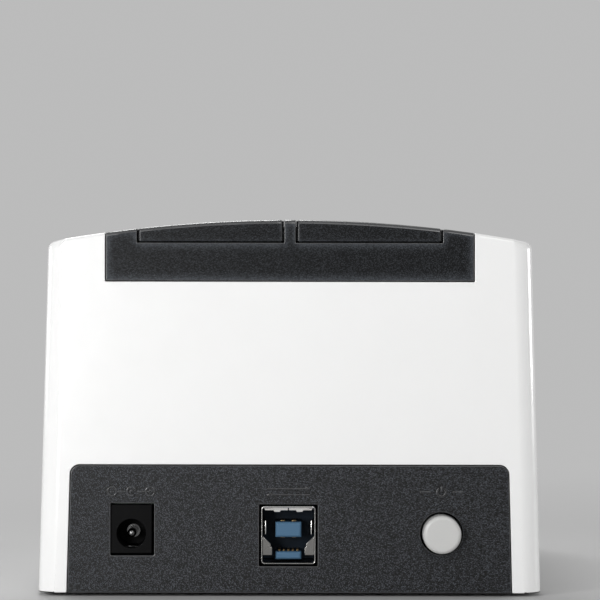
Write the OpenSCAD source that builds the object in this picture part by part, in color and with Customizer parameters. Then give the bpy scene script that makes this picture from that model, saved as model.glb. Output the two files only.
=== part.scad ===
// Two-bay hard drive docking station.
// A drafted, arch-topped shell carries a saddle-shaped bezel. Two drive wells hang from the bezel, each
// closed by a sprung push-in flap, and the circuit board with all its sockets hangs under the wells.
// Millimetres, +Z up, front towards -Y, origin on the table under the middle of the overall box.

/* [Body] */
// Width across the sides at the bottom edge
body_w = 111; // [109:0.5:130]
// Depth from the front face to the rear face
body_d = 135; // [131:0.5:165]
// Height of the housing from its lower edge to the crown of the arch
body_h = 82; // [79:0.5:100]
// Inward lean of the side walls in degrees
side_draft = 1.5; // [0.5:0.25:2]
// Radius of the arched top
arch_r = 295; // [270:5:500]
// Thickness of the housing, bezel and rear panel walls
wall = 2.2; // [1.8:0.1:2.5]
// Radius of the upright corners
corner_r = 4.4; // [3.6:0.1:5]
// Radius of the shoulder between side and top
shoulder_r = 2; // [1.2:0.1:2.6]
// Radius of the edge where the top meets the front and rear faces
rim_r = 0.8; // [0.4:0.1:1.1]
// Height the feet hold the housing above the table
foot_lift = 0.8; // [0.5:0.1:2]

/* [Fits] */
// Gap between separate mouldings
part_gap = 0.2; // [0.1:0.05:0.3]
// Radial gap of a flap on its pin
run_gap = 0.08; // [0.04:0.01:0.1]
// Radial gap of a fixed pin or screw in its hole
pin_gap = 0.03; // [0.01:0.01:0.05]
// Gap around sliding and plugged pieces
slide_gap = 0.3; // [0.25:0.05:0.4]

/* [Bezel] */
// Width of the bezel beside each bay
end_post_w = 6.8; // [6.3:0.05:8]
// Depth of the front and rear skirts below the crown
skirt_h = 13.4; // [11:0.1:16]
// Width of the bar between the two bays
divider_w = 2.5; // [2.3:0.1:3]
// Depth of the bar below the flap underside
divider_drop = 3; // [2:0.5:5]
// Reach of the side flanges under the housing
flange_w = 2.8; // [2:0.1:4]
// Thickness of the side flanges
flange_t = 1.4; // [1:0.1:2]

/* [Flaps] */
// Width of each flap across the bay
flap_w = 31.3; // [30.5:0.1:31.6]
// Gap along the sides of each flap
flap_gap = 0.55; // [0.45:0.05:0.65]
// Gap at the ends of each flap
flap_end_gap = 0.35; // [0.3:0.05:0.5]
// Flap thickness at the crown of the arch
flap_crown_t = 4.75; // [4.6:0.05:5.2]
// Skin left above the pockets in the flap
flap_skin = 1.4; // [1.1:0.1:1.6]
// Number of pockets under each flap
flap_cells = 5; // [3:1:8]
// Radius of the hinge knuckle along the inner edge
knuckle_r = 2; // [1.95:0.05:2.1]
// Radius of the hinge pin
pin_r = 0.8; // [0.6:0.05:0.85]
// Wire radius of the return spring
wire_r = 0.25; // [0.2:0.01:0.27]
// Middle radius of the spring coil
coil_r = 1.5; // [1.45:0.01:1.55]
// Number of full spring turns
coil_turns = 6; // [4:1:8]
// Advance of the spring for each turn
coil_pitch = 1; // [0.95:0.05:1.2]
// Length of the spring leg under the flap
leg_l = 9; // [6:0.5:12]
// Distance from the rear end of the flap to the spring pocket
spring_inset = 12; // [6:0.5:40]

/* [Drive bays] */
// Width of the drive a bay takes
drive_w = 101.6; // [99:0.1:102]
// Play of the drive along the bay
drive_play = 3; // [2:0.1:3.5]
// Wall and floor thickness of the wells
well_wall = 1.5; // [1.2:0.1:1.7]
// Thickness of the front end of a well that holds the pin
pin_wall = 2.5; // [2:0.1:3]
// Depth of the pin seat in the rear lip
pin_seat = 2.4; // [1.5:0.1:2.8]
// Thickness of the guide ribs on the outer wall
guide_t = 0.8; // [0.4:0.1:1]
// Number of guide ribs on the outer wall
guide_n = 3; // [2:1:5]
// Height of the posts between the well floor and the board
post_h = 1.7; // [1.2:0.1:3]

/* [Rear panel] */
// White border left beside the panel
panel_border = 6.7; // [6.2:0.1:7.2]
// Height of the panel
panel_h = 28; // [26:0.2:34]
// Radius of the upper panel corners
panel_corner_r = 2; // [1:0.1:4]

/* [Ports] */
// Distance of the USB socket from the middle, to the right
usb_x = 0.25; // [-1:0.05:1]
// Height of the USB socket above the lower edge of the housing
usb_lift = 6.25; // [5.9:0.05:9]
// Width of the USB socket shell
usb_w = 12.04; // [11.9:0.02:12.2]
// Height of the USB socket shell
usb_h = 12.8; // [12.7:0.05:13.2]
// Depth of the USB socket shell
usb_l = 18; // [16:0.5:22]
// Sheet thickness of the USB socket shell
usb_t = 0.35; // [0.25:0.05:0.4]
// Distance of the power inlet from the side of the housing
dc_side = 20.7; // [20.3:0.1:23]
// Width of the power inlet body
dc_w = 9; // [8.6:0.1:9.4]
// Height of the power inlet body
dc_h = 10.7; // [10.2:0.1:11]
// Depth of the power inlet body
dc_l = 14; // [12.5:0.5:18]
// Radius of the power inlet bore
dc_bore_r = 3.2; // [3:0.05:3.3]
// Depth of the power inlet bore
dc_bore_l = 9; // [8:0.5:10]
// Radius of the power inlet pin
dc_pin_r = 1; // [0.8:0.05:1.25]
// Distance of the inlet bore below the board
dc_drop = 6.2; // [6:0.1:6.5]

/* [Power button] */
// Distance of the button from the side of the housing
button_side = 22.1; // [21:0.1:24]
// Radius of the button cap
button_r = 4.2; // [4:0.05:4.6]
// Height of the released button above the rear face
button_proud = 4; // [3:0.1:5]
// Radius of the rounded button edge
button_edge_r = 0.9; // [0.4:0.1:1.2]
// Distance of the button axis below the board
button_drop = 6.05; // [5.6:0.05:6.6]
// Push travel of the button
button_travel = 2.5; // [1.5:0.1:3]
// Side of the square switch plunger
plunger_w = 2.4; // [2:0.1:2.6]
// Width of the switch body
switch_w = 8; // [7:0.1:8.6]
// Depth of the switch body
switch_l = 13; // [11:0.5:18]

/* [Board] */
// Board thickness
board_t = 1.6; // [1:0.1:2]
// Gap between the board and the screw posts of the housing
board_gap = 1.6; // [1:0.1:2]
// Height of the drive sockets above the board
sata_h = 9.2; // [8:0.1:12]
// Width of the drive sockets
sata_w = 6.2; // [5.6:0.1:6.6]
// Contact pitch of the drive sockets
sata_pitch = 1.27; // [1.2:0.01:1.27]
// Distance of the drive socket from the outer bay wall
sata_inset = 5; // [4.6:0.1:6]
// Distance of the drive socket middle from the front bay wall
sata_offset = 28.5; // [25:0.5:60]

/* [Base and fasteners] */
// Thickness of the base plate
base_t = 2; // [1.6:0.1:2.2]
// Distance of the feet from the side of the housing
foot_side = 10.5; // [9.9:0.1:11]
// Distance of the feet from the front and rear faces
foot_inset = 10.5; // [9.5:0.1:14]
// Radius of the feet
foot_r = 4.4; // [4:0.1:4.6]
// Depth the feet are let into the base
foot_sink = 0.4; // [0.2:0.05:0.5]
// Number of vent slots in each row of the base
vent_n = 7; // [3:1:9]
// Radius of the base screw shank
base_screw_r = 1.4; // [1.2:0.1:1.5]
// Radius of the board and well screw shanks
small_screw_r = 0.85; // [0.7:0.05:0.95]
// Number of lenses on the front
lens_n = 3; // [1:1:5]
// Radius of the lenses
lens_r = 1.2; // [0.8:0.1:1.5]

/* [Hidden] */
$fn = 96;
over = 1;

white_c = [0.93, 0.93, 0.92];
black_c = [0.07, 0.07, 0.075];
panel_c = [0.1, 0.1, 0.1];
grey_c = [0.7, 0.7, 0.7];
steel_c = [0.72, 0.72, 0.74];
gold_c = [0.85, 0.68, 0.3];
blue_c = [0.08, 0.3, 0.75];
board_c = [0.05, 0.32, 0.16];
rubber_c = [0.05, 0.05, 0.05];

// Main heights and faces
z_base = foot_lift;
z_crown = z_base + body_h;
z_arch = z_crown - arch_r;
y_rear = (body_d - button_proud) / 2;
y_front = y_rear - body_d;
z_skirt = z_crown - skirt_h;

// Flap and bay layout, right-hand bay
open_w = flap_w + 2 * flap_gap;
bezel_w = divider_w + 2 * open_w + 2 * end_post_w;
bay_x0 = divider_w / 2;
bay_x1 = bay_x0 + open_w;
flap_x0 = bay_x0 + flap_gap;
flap_x1 = flap_x0 + flap_w;
flap_z = z_crown - flap_crown_t;
hinge_x = flap_x0 + knuckle_r;
hinge_z = flap_z + knuckle_r;
bay_l = drive_w + drive_play;
well_y1 = y_rear - wall - part_gap;
bay_y1 = well_y1 - well_wall;
bay_y0 = bay_y1 - bay_l;
well_y0 = bay_y0 - pin_wall;
well_x0 = part_gap / 2;
well_x1 = bay_x1 + well_wall;
flap_y0 = bay_y0 + flap_end_gap;
flap_y1 = bay_y1 - flap_end_gap;
lip_gap = 0.3;
flange_ease = 8;
z_rim = flap_z - lip_gap;
z_divider = flap_z - divider_drop;

// Board stack, hanging under the wells
usb_z0 = z_base + usb_lift;
seat_gap = 0.1;
board_z0 = usb_z0 + usb_h + seat_gap;
board_z1 = board_z0 + board_t;
foot_x = body_w / 2 - foot_side;
boss_r = 3.4;
board_w = 2 * (foot_x - boss_r - board_gap);
well_z0 = board_z1 + post_h;
floor_z = well_z0 + well_wall;
board_back = 1.2;
board_ahead = 4.5;
board_y1 = y_rear - wall - board_back;
board_y0 = y_front + wall + board_ahead;
post_r = 2.6;
post_x = (bay_x0 + bay_x1) / 2;
post_front = 8;
post_back = 24;
post_ys = [bay_y0 + post_front, bay_y1 - post_back];
sata_x = bay_x1 - sata_inset;
sata_y = bay_y0 + sata_offset;
data_n = 7;
power_n = 15;
guide_w = 1.2;
guide_drop = 8;
slot_w = 2.3;
slot_l1 = data_n * sata_pitch + 1.5;
slot_l2 = power_n * sata_pitch + 1.7;
slot_rib = 1.6;
slot_depth = 6.2;
sata_end = 3;
sata_l = slot_l1 + slot_l2 + slot_rib + 2 * sata_end;
slot_y1 = sata_y - sata_l / 2 + sata_end;
slot_y2 = slot_y1 + slot_l1 + slot_rib;

// Well ears and their screws
ear_x = (well_x1 + bezel_w / 2) / 2;
ear_r = 2.2;
ear_t = 2.4;
ear_z1 = z_rim - 3;
ear_inset = 24;
ear_ys = [bay_y0 + ear_inset, bay_y1 - ear_inset];
ear_thread = 3.9;
small_head_r = 2;
small_head_h = 1.4;
screw_room = 0.25;
post_skin = 0.4;

// Spring
spring_y0 = flap_y1 - spring_inset;
coil_l = (coil_turns + 0.25) * coil_pitch;
pocket_room = 1.2;
leg_seat = 0.1;
leg_hole_x = 0.35;
leg_end_x = 0.55;
heel_l = 6;
heel_h = 1.1;
heel_inset = 8;
rib_t = 1.4;

// Ports
usb_front = 0.4;
usb_bend_r = 0.8;
usb_room = 0.43;
usb_wing_w = 2.46;
usb_tongue_w = 5.7;
usb_tongue_h = 3.34;
usb_tongue_l = 7.4;
usb_tongue_bevel = 0.35;
usb_tongue_drop = 3.65;
usb_lower_drop = 11.85;
usb_contact_inset = 2.2;
usb_mouth_l = 9.4;
dc_front = 0.6;
dc_rim_l = 2.6;
dc_rim_up = 0.25;
dc_room = 0.3;
dc_off = 0.25;
dc_leaf_inset = 3.6;
port_room = 0.4;
button_room = 0.5;
panel_hook = 1.8;
panel_web = 2;
panel_ease = 4;
dc_x = body_w / 2 - dc_side;
button_x = body_w / 2 - button_side;
dc_z = board_z0 - dc_drop;
dc_z1 = board_z0 - seat_gap;
button_z = board_z0 - button_drop;
cap_l = 7.5;
cap_wall = 0.9;
plunger_out = 2.4;
plunger_in = 2;
switch_y1 = y_rear - cap_l - button_travel - slide_gap - 1.7;

// Base
base_boss_h = base_t + 1.5;
base_boss_r = 5.6;
boss_h = 27;
boss_z1 = z_base + boss_h;
boss_cap = 4;
boss_rib = 1.6;
head_r = 2.9;
head_h = 1.3;
foot_ys = [y_front + foot_inset, y_rear - foot_inset];
base_thread = 12;
upstand_h = 4.8;
upstand_t = 1.6;
lens_step = 8;
lens_z = board_z0 - lens_r;
bar_t = 2;
bar_h = 3.2;
led_w = 1.8;
led_l = 1.2;
led_h = 1.6;
vent_step = 6;
vent_r = 1;
vent_l = 22;
vent_x = 8;

// Parts under the board
cap_r = 3.15;
cap_h = 7.7;
cap_step = 9;
cap_x = post_x + small_head_r + 1.3 * cap_r;
cap_y = post_ys[1] - small_head_r;
cap_groove = 0.35;
choke_w = 6;
choke_h = 3;
chip_w = 10;
chip_t = 1.2;
chip_y = (post_ys[0] + post_ys[1]) / 2;
crystal_r = 2.3;
crystal_l = 6.4;
crystal_h = 3.5;
crystal_y = chip_y + chip_w / 2 + 2.5 * crystal_r;
choke_x = post_x + 1.75 * choke_w;
choke_y = chip_y + 1.8 * choke_w;

function half_w(z) = body_w / 2 - (z - z_base) * tan(side_draft);
function panel_x(z) = half_w(z) - panel_border;
function lens_x(i) = (i - (lens_n - 1) / 2) * lens_step;

// Middle of the shoulder rounding in X and Z for a form set in from the outer skin
function shoulder(inset, r) =
  let (
    k = cos(side_draft) * body_w / 2 + sin(side_draft) * z_base - inset - r,
    h = k - sin(side_draft) * z_arch,
    s = sqrt(pow(arch_r - inset - r, 2) - h * h)
  )
  [h * cos(side_draft) - s * sin(side_draft), z_arch + h * sin(side_draft) + s * cos(side_draft)];

// Both bays are mirror images about the middle
module on_side(side) {
  if (side < 0) mirror([1, 0, 0]) children();
  else children();
}

module both_sides() {
  on_side(1) children();
  on_side(-1) children();
}

// Round bar along Y, from y0 to y1
module bar_y(x, z, r, y0, y1) {
  translate([x, y1, z]) rotate([90, 0, 0]) cylinder(r = r, h = y1 - y0, $fn = r > 50 ? 720 : $fn);
}

// Flat outline in X and Z pushed from y0 to y1
module slab_y(y0, y1) {
  translate([0, y1, 0]) rotate([90, 0, 0]) linear_extrude(y1 - y0) children();
}

// Horizontal disc with a fully rounded rim
module rounded_disc(r, edge) {
  rotate_extrude() translate([r - edge, 0]) circle(r = edge);
}

// Outer form of the station set in by an even amount: drafted sides, arched top, blended corners
module body_form(inset, fn, z_low) {
  plan_r = max(corner_r - inset, 0.9);
  edge = max(shoulder_r - inset, 0.5);
  rim = max(rim_r - inset, 0.3);
  p = shoulder(inset, edge);
  disc_x = p[0] - plan_r + edge;
  low_x = half_w(z_low) - (inset + plan_r) / cos(side_draft);
  ends = [y_front + inset, y_rear - inset];
  span = asin(disc_x / (arch_r - inset - rim));
  steps = 14;
  $fn = fn;
  hull() {
    for (side = [-1, 1], e = [0, 1]) {
      y = e == 0 ? ends[0] + plan_r : ends[1] - plan_r;
      translate([side * low_x, y, z_low]) cylinder(r = plan_r, h = 0.01);
      translate([side * disc_x, y, p[1]]) rounded_disc(plan_r, edge);
    }
    for (i = [0 : steps], e = [0, 1]) {
      a = span * (2 * i / steps - 1);
      y = e == 0 ? ends[0] + rim : ends[1] - rim;
      translate([(arch_r - inset - rim) * sin(a), y, z_arch + (arch_r - inset - rim) * cos(a)])
        rotate([0, a + 90, 0]) cylinder(r = rim, h = 0.01, center = true);
    }
  }
}

module outer_form() {
  body_form(0, 48, z_base);
}

module inner_form() {
  body_form(wall, 32, z_base - over);
}

// Block under the arch, or under the arch lowered by drop
module arch_block(x0, x1, y0, y1, z0, drop) {
  intersection() {
    translate([x0, y0, z0]) cube([x1 - x0, y1 - y0, z_crown - z0]);
    bar_y(0, z_arch, arch_r - drop, y0 - over, y1 + over);
  }
}

// Block under the arch whose rear upper edge is rounded like the rim of the body
module arch_lip(x0, x1, y0, y1, z0) {
  l = y1 - y0 + over;
  intersection() {
    translate([x0, y0, z0]) cube([x1 - x0, y1 - y0, z_crown - z0]);
    translate([0, y0 - over, z_arch]) rotate([-90, 0, 0]) rotate_extrude($fn = 720) union() {
      square([arch_r, l - rim_r]);
      square([arch_r - rim_r, l]);
      translate([arch_r - rim_r, l - rim_r]) circle(r = rim_r, $fn = 48);
    }
  }
}

// Flat box with rounded corners about the middle in X, its lower edge at z
module bent_outline(w, z, h, r) {
  translate([-w / 2, z]) union() {
    translate([r, 0]) square([w - 2 * r, h]);
    translate([0, r]) square([w, h - 2 * r]);
    for (x = [r, w - r], y = [r, h - r]) translate([x, y]) circle(r = r);
  }
}

// Curved plate between two depths below the arch
module arch_plate(x0, x1, y0, y1, d0, d1) {
  difference() {
    arch_block(x0, x1, y0, y1, z_skirt, d0);
    bar_y(0, z_arch, arch_r - d1, y0 - over, y1 + over);
  }
}

// Screw standing head down on z, with its shank pointing up
module screw_up(x, y, z, hr, hh, sr, l) {
  translate([x, y, z]) {
    difference() {
      cylinder(r = hr, h = hh);
      for (a = [0, 90]) rotate(a) translate([-hr * 0.55, -hr * 0.14, -over])
        cube([hr * 1.1, hr * 0.28, over + hh * 0.6]);
    }
    translate([0, 0, hh]) cylinder(r = sr, h = l);
  }
}

// Rear panel outline, grown by a gap
module panel_outline(gap) {
  z_top = z_base + panel_h + gap;
  r = panel_corner_r + gap;
  cx = panel_x(z_top - r) + gap - r / cos(side_draft);
  difference() {
    polygon([
      [-panel_x(z_base) - gap, z_base],
      [panel_x(z_base) + gap, z_base],
      [panel_x(z_top) + gap, z_top],
      [-panel_x(z_top) - gap, z_top]
    ]);
    for (side = [0, 1]) mirror([side, 0]) translate([cx, z_top - r]) difference() {
      square(r + over);
      circle(r = r);
    }
  }
}

module upper_housing() {
  color(white_c) difference() {
    union() {
      difference() {
        outer_form();
        inner_form();
      }
      both_sides() for (y = foot_ys) {
        translate([foot_x, y, z_base + base_boss_h + seat_gap])
          cylinder(r = boss_r, h = boss_z1 - z_base - base_boss_h - seat_gap);
        translate([foot_x, y - boss_rib / 2, z_base + base_boss_h + seat_gap])
          cube([half_w(boss_z1) - wall / 2 - foot_x, boss_rib, boss_z1 - z_base - base_boss_h - seat_gap]);
      }
    }
    translate([-bezel_w / 2 - part_gap, y_front - over, z_skirt - part_gap])
      cube([bezel_w + 2 * part_gap, body_d + 2 * over, body_h]);
    slab_y(y_rear - wall - over, y_rear + over) union() {
      panel_outline(part_gap);
      translate([-panel_x(z_base) - part_gap, z_base - over])
        square([2 * panel_x(z_base) + 2 * part_gap, over]);
    }
    for (i = [0 : lens_n - 1])
      bar_y(lens_x(i), lens_z, lens_r + part_gap / 2, y_front - over, y_front + wall + over);
    both_sides() for (y = foot_ys)
      translate([foot_x, y, z_base]) cylinder(r = base_screw_r + pin_gap, h = boss_h - boss_cap);
  }
}

module top_bezel() {
  open_y0 = well_y0 - flap_gap;
  flange_root = 2;
  flange_y0 = y_front + flange_ease;
  flange_y1 = y_rear - flange_ease;
  color(black_c) difference() {
    union() {
      intersection() {
        difference() {
          outer_form();
          inner_form();
        }
        translate([-bezel_w / 2, y_front - over, z_skirt]) cube([bezel_w, body_d + 2 * over, body_h]);
      }
      arch_block(-divider_w / 2, divider_w / 2, open_y0 - 2, y_rear - wall / 2, z_divider, wall / 2);
      both_sides() {
        arch_plate(bezel_w / 2 - flange_root, bezel_w / 2 + flange_w, flange_y0, flange_y1,
          wall + part_gap, wall + part_gap + flange_t);
        arch_plate(bezel_w / 2 - flange_root, bezel_w / 2, flange_y0, flange_y1,
          wall / 2, wall + part_gap + flange_t / 2);
        for (y = ear_ys) intersection() {
          translate([ear_x, y, ear_z1 + seat_gap]) cylinder(r = ear_r, h = body_h);
          bar_y(0, z_arch, arch_r - wall / 2, y - 2 * ear_r, y + 2 * ear_r);
        }
      }
    }
    both_sides() {
      translate([bay_x0, open_y0, z_rim]) cube([open_w, body_d, body_h]);
      for (y = ear_ys) translate([ear_x, y, ear_z1 - over])
        cylinder(r = small_screw_r + pin_gap, h = over + ear_thread + slide_gap);
      translate([leg_hole_x, spring_y0, hinge_z + coil_r]) rotate([0, 90, 0])
        cylinder(r = wire_r + seat_gap, h = divider_w);
    }
  }
}

module drive_well(side) {
  color(black_c) on_side(side) difference() {
    union() {
      difference() {
        translate([well_x0, well_y0, well_z0]) cube([well_x1 - well_x0, well_y1 - well_y0, z_rim - well_z0]);
        translate([bay_x0, bay_y0, floor_z]) cube([open_w, bay_l, body_h]);
      }
      // Rear lip seen from behind, and the front end that holds the pin
      arch_lip(flap_x0, flap_x1, bay_y1, y_rear, flap_z);
      translate([flap_x0, bay_y1, z_rim - over]) cube([flap_w, well_wall, 2 * over]);
      arch_block(flap_x0, flap_x1, well_y0, bay_y0, z_rim - over, 0);
      // Guide ribs on the outer wall, below the sweep of the flap
      for (i = [0 : guide_n - 1])
        translate([bay_x1 - guide_t, bay_y0 + bay_l * (i + 0.5) / guide_n, floor_z - over / 2])
          cube([guide_t + over / 2, guide_w, z_rim - floor_z - guide_drop]);
      // Ears for the screws into the bezel
      for (y = ear_ys) {
        translate([ear_x, y, ear_z1 - ear_t]) cylinder(r = ear_r, h = ear_t);
        translate([well_x1 - over / 2, y - ear_r, ear_z1 - ear_t])
          cube([ear_x - well_x1 + over / 2, 2 * ear_r, ear_t]);
      }
      // Posts the board hangs from
      for (y = post_ys) translate([post_x, y, board_z1]) cylinder(r = post_r, h = post_h + over / 2);
    }
    // Room for the bar of the bezel above the inner wall
    translate([-over, well_y0 - over, z_divider - part_gap]) cube([bay_x0 + over, body_d, body_h]);
    // Drive socket, screws and hinge pin
    translate([sata_x - sata_w / 2 - slide_gap, sata_y - sata_l / 2 - slide_gap, well_z0 - over])
      cube([sata_w + 2 * slide_gap, sata_l + 2 * slide_gap, well_wall + 2 * over]);
    for (y = ear_ys) translate([ear_x, y, ear_z1 - ear_t - over])
      cylinder(r = small_screw_r + screw_room, h = ear_t + 2 * over);
    for (y = post_ys) translate([post_x, y, board_z1 - over])
      cylinder(r = small_screw_r + pin_gap, h = over + post_h + well_wall - post_skin);
    bar_y(hinge_x, hinge_z, pin_r + pin_gap, well_y0 - over, bay_y1 + pin_seat);
  }
}

module drive_flap(side) {
  cell_x0 = hinge_x + 2.1 * knuckle_r;
  cell_l = (flap_y1 - flap_y0 - rib_t) / flap_cells;
  color(black_c) on_side(side) difference() {
    union() {
      difference() {
        arch_block(flap_x0, flap_x1, flap_y0, flap_y1, flap_z, 0);
        translate([flap_x0 - over, flap_y0 - over, flap_z - over])
          cube([knuckle_r + over, flap_y1 - flap_y0 + 2 * over, knuckle_r + over]);
      }
      bar_y(hinge_x, hinge_z, knuckle_r, flap_y0, flap_y1);
      // Heels that stop the closed flap against the bar
      for (y = [flap_y0 + heel_inset, spring_y0 - 3 * heel_l])
        translate([bay_x0 + seat_gap / 2, y, hinge_z + 0.35 * knuckle_r])
          cube([flap_gap + 0.2 * knuckle_r, heel_l, heel_h]);
    }
    bar_y(hinge_x, hinge_z, pin_r + run_gap, flap_y0 - over, flap_y1 + over);
    // Pockets that leave an even skin under the arch
    for (i = [0 : flap_cells - 1])
      arch_block(cell_x0, flap_x1 - rib_t, flap_y0 + rib_t + i * cell_l, flap_y0 + (i + 1) * cell_l,
        flap_z - over, flap_skin);
    // Room for the return spring
    translate([flap_x0 - over, spring_y0 - pocket_room, flap_z - over])
      cube([
        hinge_x + coil_r + pocket_room - flap_x0 + over,
        coil_l + 2 * pocket_room,
        knuckle_r + coil_r + pocket_room / 2 + over
      ]);
  }
}

module flap_pin(side) {
  color(steel_c) on_side(side)
    bar_y(hinge_x, hinge_z, pin_r, well_y0 + part_gap, bay_y1 + pin_seat - part_gap);
}

// Centre line of the return spring about the hinge: fixed leg, coil, leg under the flap
coil_seg = 12;
leg_z = -knuckle_r - wire_r - leg_seat;
spring_path = concat(
  [[leg_end_x - hinge_x, 0, coil_r], [bay_x0 - hinge_x, 0, coil_r], [-0.6, 0, coil_r]],
  [for (i = [0 : coil_seg * coil_turns + coil_seg / 4])
    let (a = 90 - 360 * i / coil_seg)
    [coil_r * cos(a), coil_pitch * i / coil_seg, coil_r * sin(a)]],
  [
    [coil_r, coil_l, leg_z + 0.75],
    [coil_r + 0.12, coil_l, leg_z + 0.3],
    [coil_r + 0.45, coil_l, leg_z],
    [leg_l - 1, coil_l, leg_z],
    [leg_l, coil_l, leg_z]
  ]
);

function unit(v) = v / norm(v);

function path_dir(p, i) = unit(p[min(i + 1, len(p) - 1)] - p[max(i - 1, 0)]);

// Least clear distance between turns of a wire more than half a turn apart along its line
function own_gap(p, r, skip) = min([
  for (i = [0 : len(p) - 1 - skip], j = [i + skip : len(p) - 1]) norm(p[i] - p[j]) - 2 * r
]);

// Round wire along a line that never runs along Y
module wire(p, r, sides) {
  n = len(p);
  rings = [
    for (i = [0 : n - 1])
    let (t = path_dir(p, i), u = unit(cross([0, 1, 0], t)), v = cross(t, u))
    for (k = [0 : sides - 1]) p[i] + r * (cos(360 * k / sides) * u + sin(360 * k / sides) * v)
  ];
  faces = concat(
    [[for (k = [0 : sides - 1]) k]],
    [for (i = [0 : n - 2], k = [0 : sides - 1])
      [i * sides + k, (i + 1) * sides + k, (i + 1) * sides + (k + 1) % sides, i * sides + (k + 1) % sides]],
    [[for (k = [sides - 1 : -1 : 0]) (n - 1) * sides + k]]
  );
  polyhedron(points = rings, faces = faces, convexity = 6);
}

module flap_spring(side) {
  color(steel_c) on_side(side) translate([hinge_x, spring_y0, hinge_z]) wire(spring_path, wire_r, 8);
}

echo(str("Least gap between the turns of the flap spring: ", own_gap(spring_path, wire_r, 7)));

module rear_panel() {
  inner = y_rear - wall;
  color(panel_c) difference() {
    union() {
      slab_y(inner, y_rear) panel_outline(0);
      both_sides() {
        slab_y(inner - part_gap - rib_t, inner - part_gap) hook_outline(panel_hook);
        slab_y(inner - part_gap - over, inner + over / 2) hook_outline(-part_gap);
      }
    }
    translate([usb_x - usb_w / 2 - usb_room, inner - over, usb_z0 - port_room])
      cube([usb_w + 2 * usb_room, wall + 2 * over, usb_h + 2 * port_room]);
    translate([dc_x - dc_w / 2 - dc_room - dc_off, inner - over, dc_z1 + dc_rim_up - dc_h - port_room])
      cube([dc_w + 2 * dc_room, wall + 2 * over, dc_h + 2 * port_room]);
    bar_y(-button_x, button_z, button_r + button_room, inner - over, y_rear + over);
  }
}

// Side strip of the rear panel, reaching out past its edge behind the housing
module hook_outline(reach) {
  z0 = z_base + base_boss_h;
  z1 = z_base + panel_h - panel_ease;
  polygon([
    [panel_x(z0) - panel_web, z0],
    [panel_x(z0) + reach, z0],
    [panel_x(z1) + reach, z1],
    [panel_x(z1) - panel_web, z1]
  ]);
}

module base_plate() {
  x1 = half_w(z_base + base_boss_h) - wall - part_gap;
  y0 = y_front + wall + part_gap;
  y1 = y_rear - wall - part_gap;
  r = corner_r - wall;
  color(panel_c) difference() {
    union() {
      translate([-x1 + r, y0, z_base]) cube([2 * (x1 - r), y1 - y0, base_t]);
      translate([-x1, y0 + r, z_base]) cube([2 * x1, y1 - y0 - 2 * r, base_t]);
      both_sides() for (y = [y0 + r, y1 - r]) translate([x1 - r, y, z_base]) cylinder(r = r, h = base_t);
      both_sides() for (y = foot_ys) translate([foot_x, y, z_base])
        cylinder(r = base_boss_r, h = base_boss_h);
      // Upstand behind the rear panel
      translate([-foot_x + base_boss_r + 1, y1 - upstand_t, z_base])
        cube([2 * (foot_x - base_boss_r - 1), upstand_t, upstand_h]);
    }
    both_sides() for (y = foot_ys) translate([foot_x, y, z_base - over]) {
      cylinder(r = foot_r + seat_gap, h = over + foot_sink);
      cylinder(r = head_r + part_gap, h = over + foot_sink + head_h + seat_gap);
      cylinder(r = base_screw_r + part_gap, h = over + base_boss_h + over);
    }
    // Vent slots with round ends
    both_sides() for (i = [0 : vent_n - 1])
      translate([vent_x, (i - (vent_n - 1) / 2) * vent_step + (y0 + y1) / 2, z_base - over]) {
        translate([0, -vent_r, 0]) cube([vent_l, 2 * vent_r, base_t + 2 * over]);
        for (x = [0, vent_l]) translate([x, 0, 0]) cylinder(r = vent_r, h = base_t + 2 * over);
      }
  }
}

module rubber_feet() {
  color(rubber_c) both_sides() for (y = foot_ys) translate([foot_x, y, 0]) rotate_extrude() polygon([
    [0, 0], [foot_r - 0.3, 0], [foot_r, 0.3], [foot_r, foot_lift + foot_sink], [0, foot_lift + foot_sink]
  ]);
}

module base_screws() {
  color(steel_c) both_sides() for (y = foot_ys)
    screw_up(foot_x, y, z_base + foot_sink + seat_gap, head_r, head_h, base_screw_r, base_thread);
}

module main_board() {
  color(board_c) difference() {
    translate([-board_w / 2, board_y0, board_z0]) cube([board_w, board_y1 - board_y0, board_t]);
    both_sides() for (y = post_ys) translate([post_x, y, board_z0 - over])
      cylinder(r = small_screw_r + screw_room, h = board_t + 2 * over);
  }
}

module board_screws() {
  color(steel_c) both_sides() for (y = post_ys)
    screw_up(post_x, y, board_z0 - small_head_h, small_head_r, small_head_h, small_screw_r,
      board_t + post_h + well_wall - post_skin - slide_gap);
}

module well_screws() {
  color(steel_c) both_sides() for (y = ear_ys)
    screw_up(ear_x, y, ear_z1 - ear_t - small_head_h, small_head_r, small_head_h, small_screw_r,
      ear_t + ear_thread);
}

// Upright 22-way drive socket: a data slot and a power slot, each with an L-shaped key
module sata_socket(side) {
  z1 = board_z1 + sata_h;
  color(black_c) on_side(side) difference() {
    union() {
      translate([sata_x - sata_w / 2, sata_y - sata_l / 2, board_z1]) cube([sata_w, sata_l, sata_h]);
      // Stepped foot on the board
      translate([sata_x - sata_w / 2 - part_gap, sata_y - sata_l / 2 - part_gap, board_z1])
        cube([sata_w + 2 * part_gap, sata_l + 2 * part_gap, over]);
    }
    for (s = [[slot_y1, slot_l1], [slot_y2, slot_l2]]) {
      translate([sata_x - slot_w / 2, s[0], z1 - slot_depth]) cube([slot_w, s[1], slot_depth + over]);
      translate([sata_x - slot_w / 2, s[0], z1 - slot_depth]) cube([slot_w + 1, 1.2, slot_depth + over]);
    }
    // Lead-in for the guide posts of the drive
    for (y = [sata_y - sata_l / 2 + 0.8, sata_y + sata_l / 2 - 2]) translate([sata_x - 1.6, y, z1 - 4])
      cube([3.2, 1.2, 4 + over]);
  }
}

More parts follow.
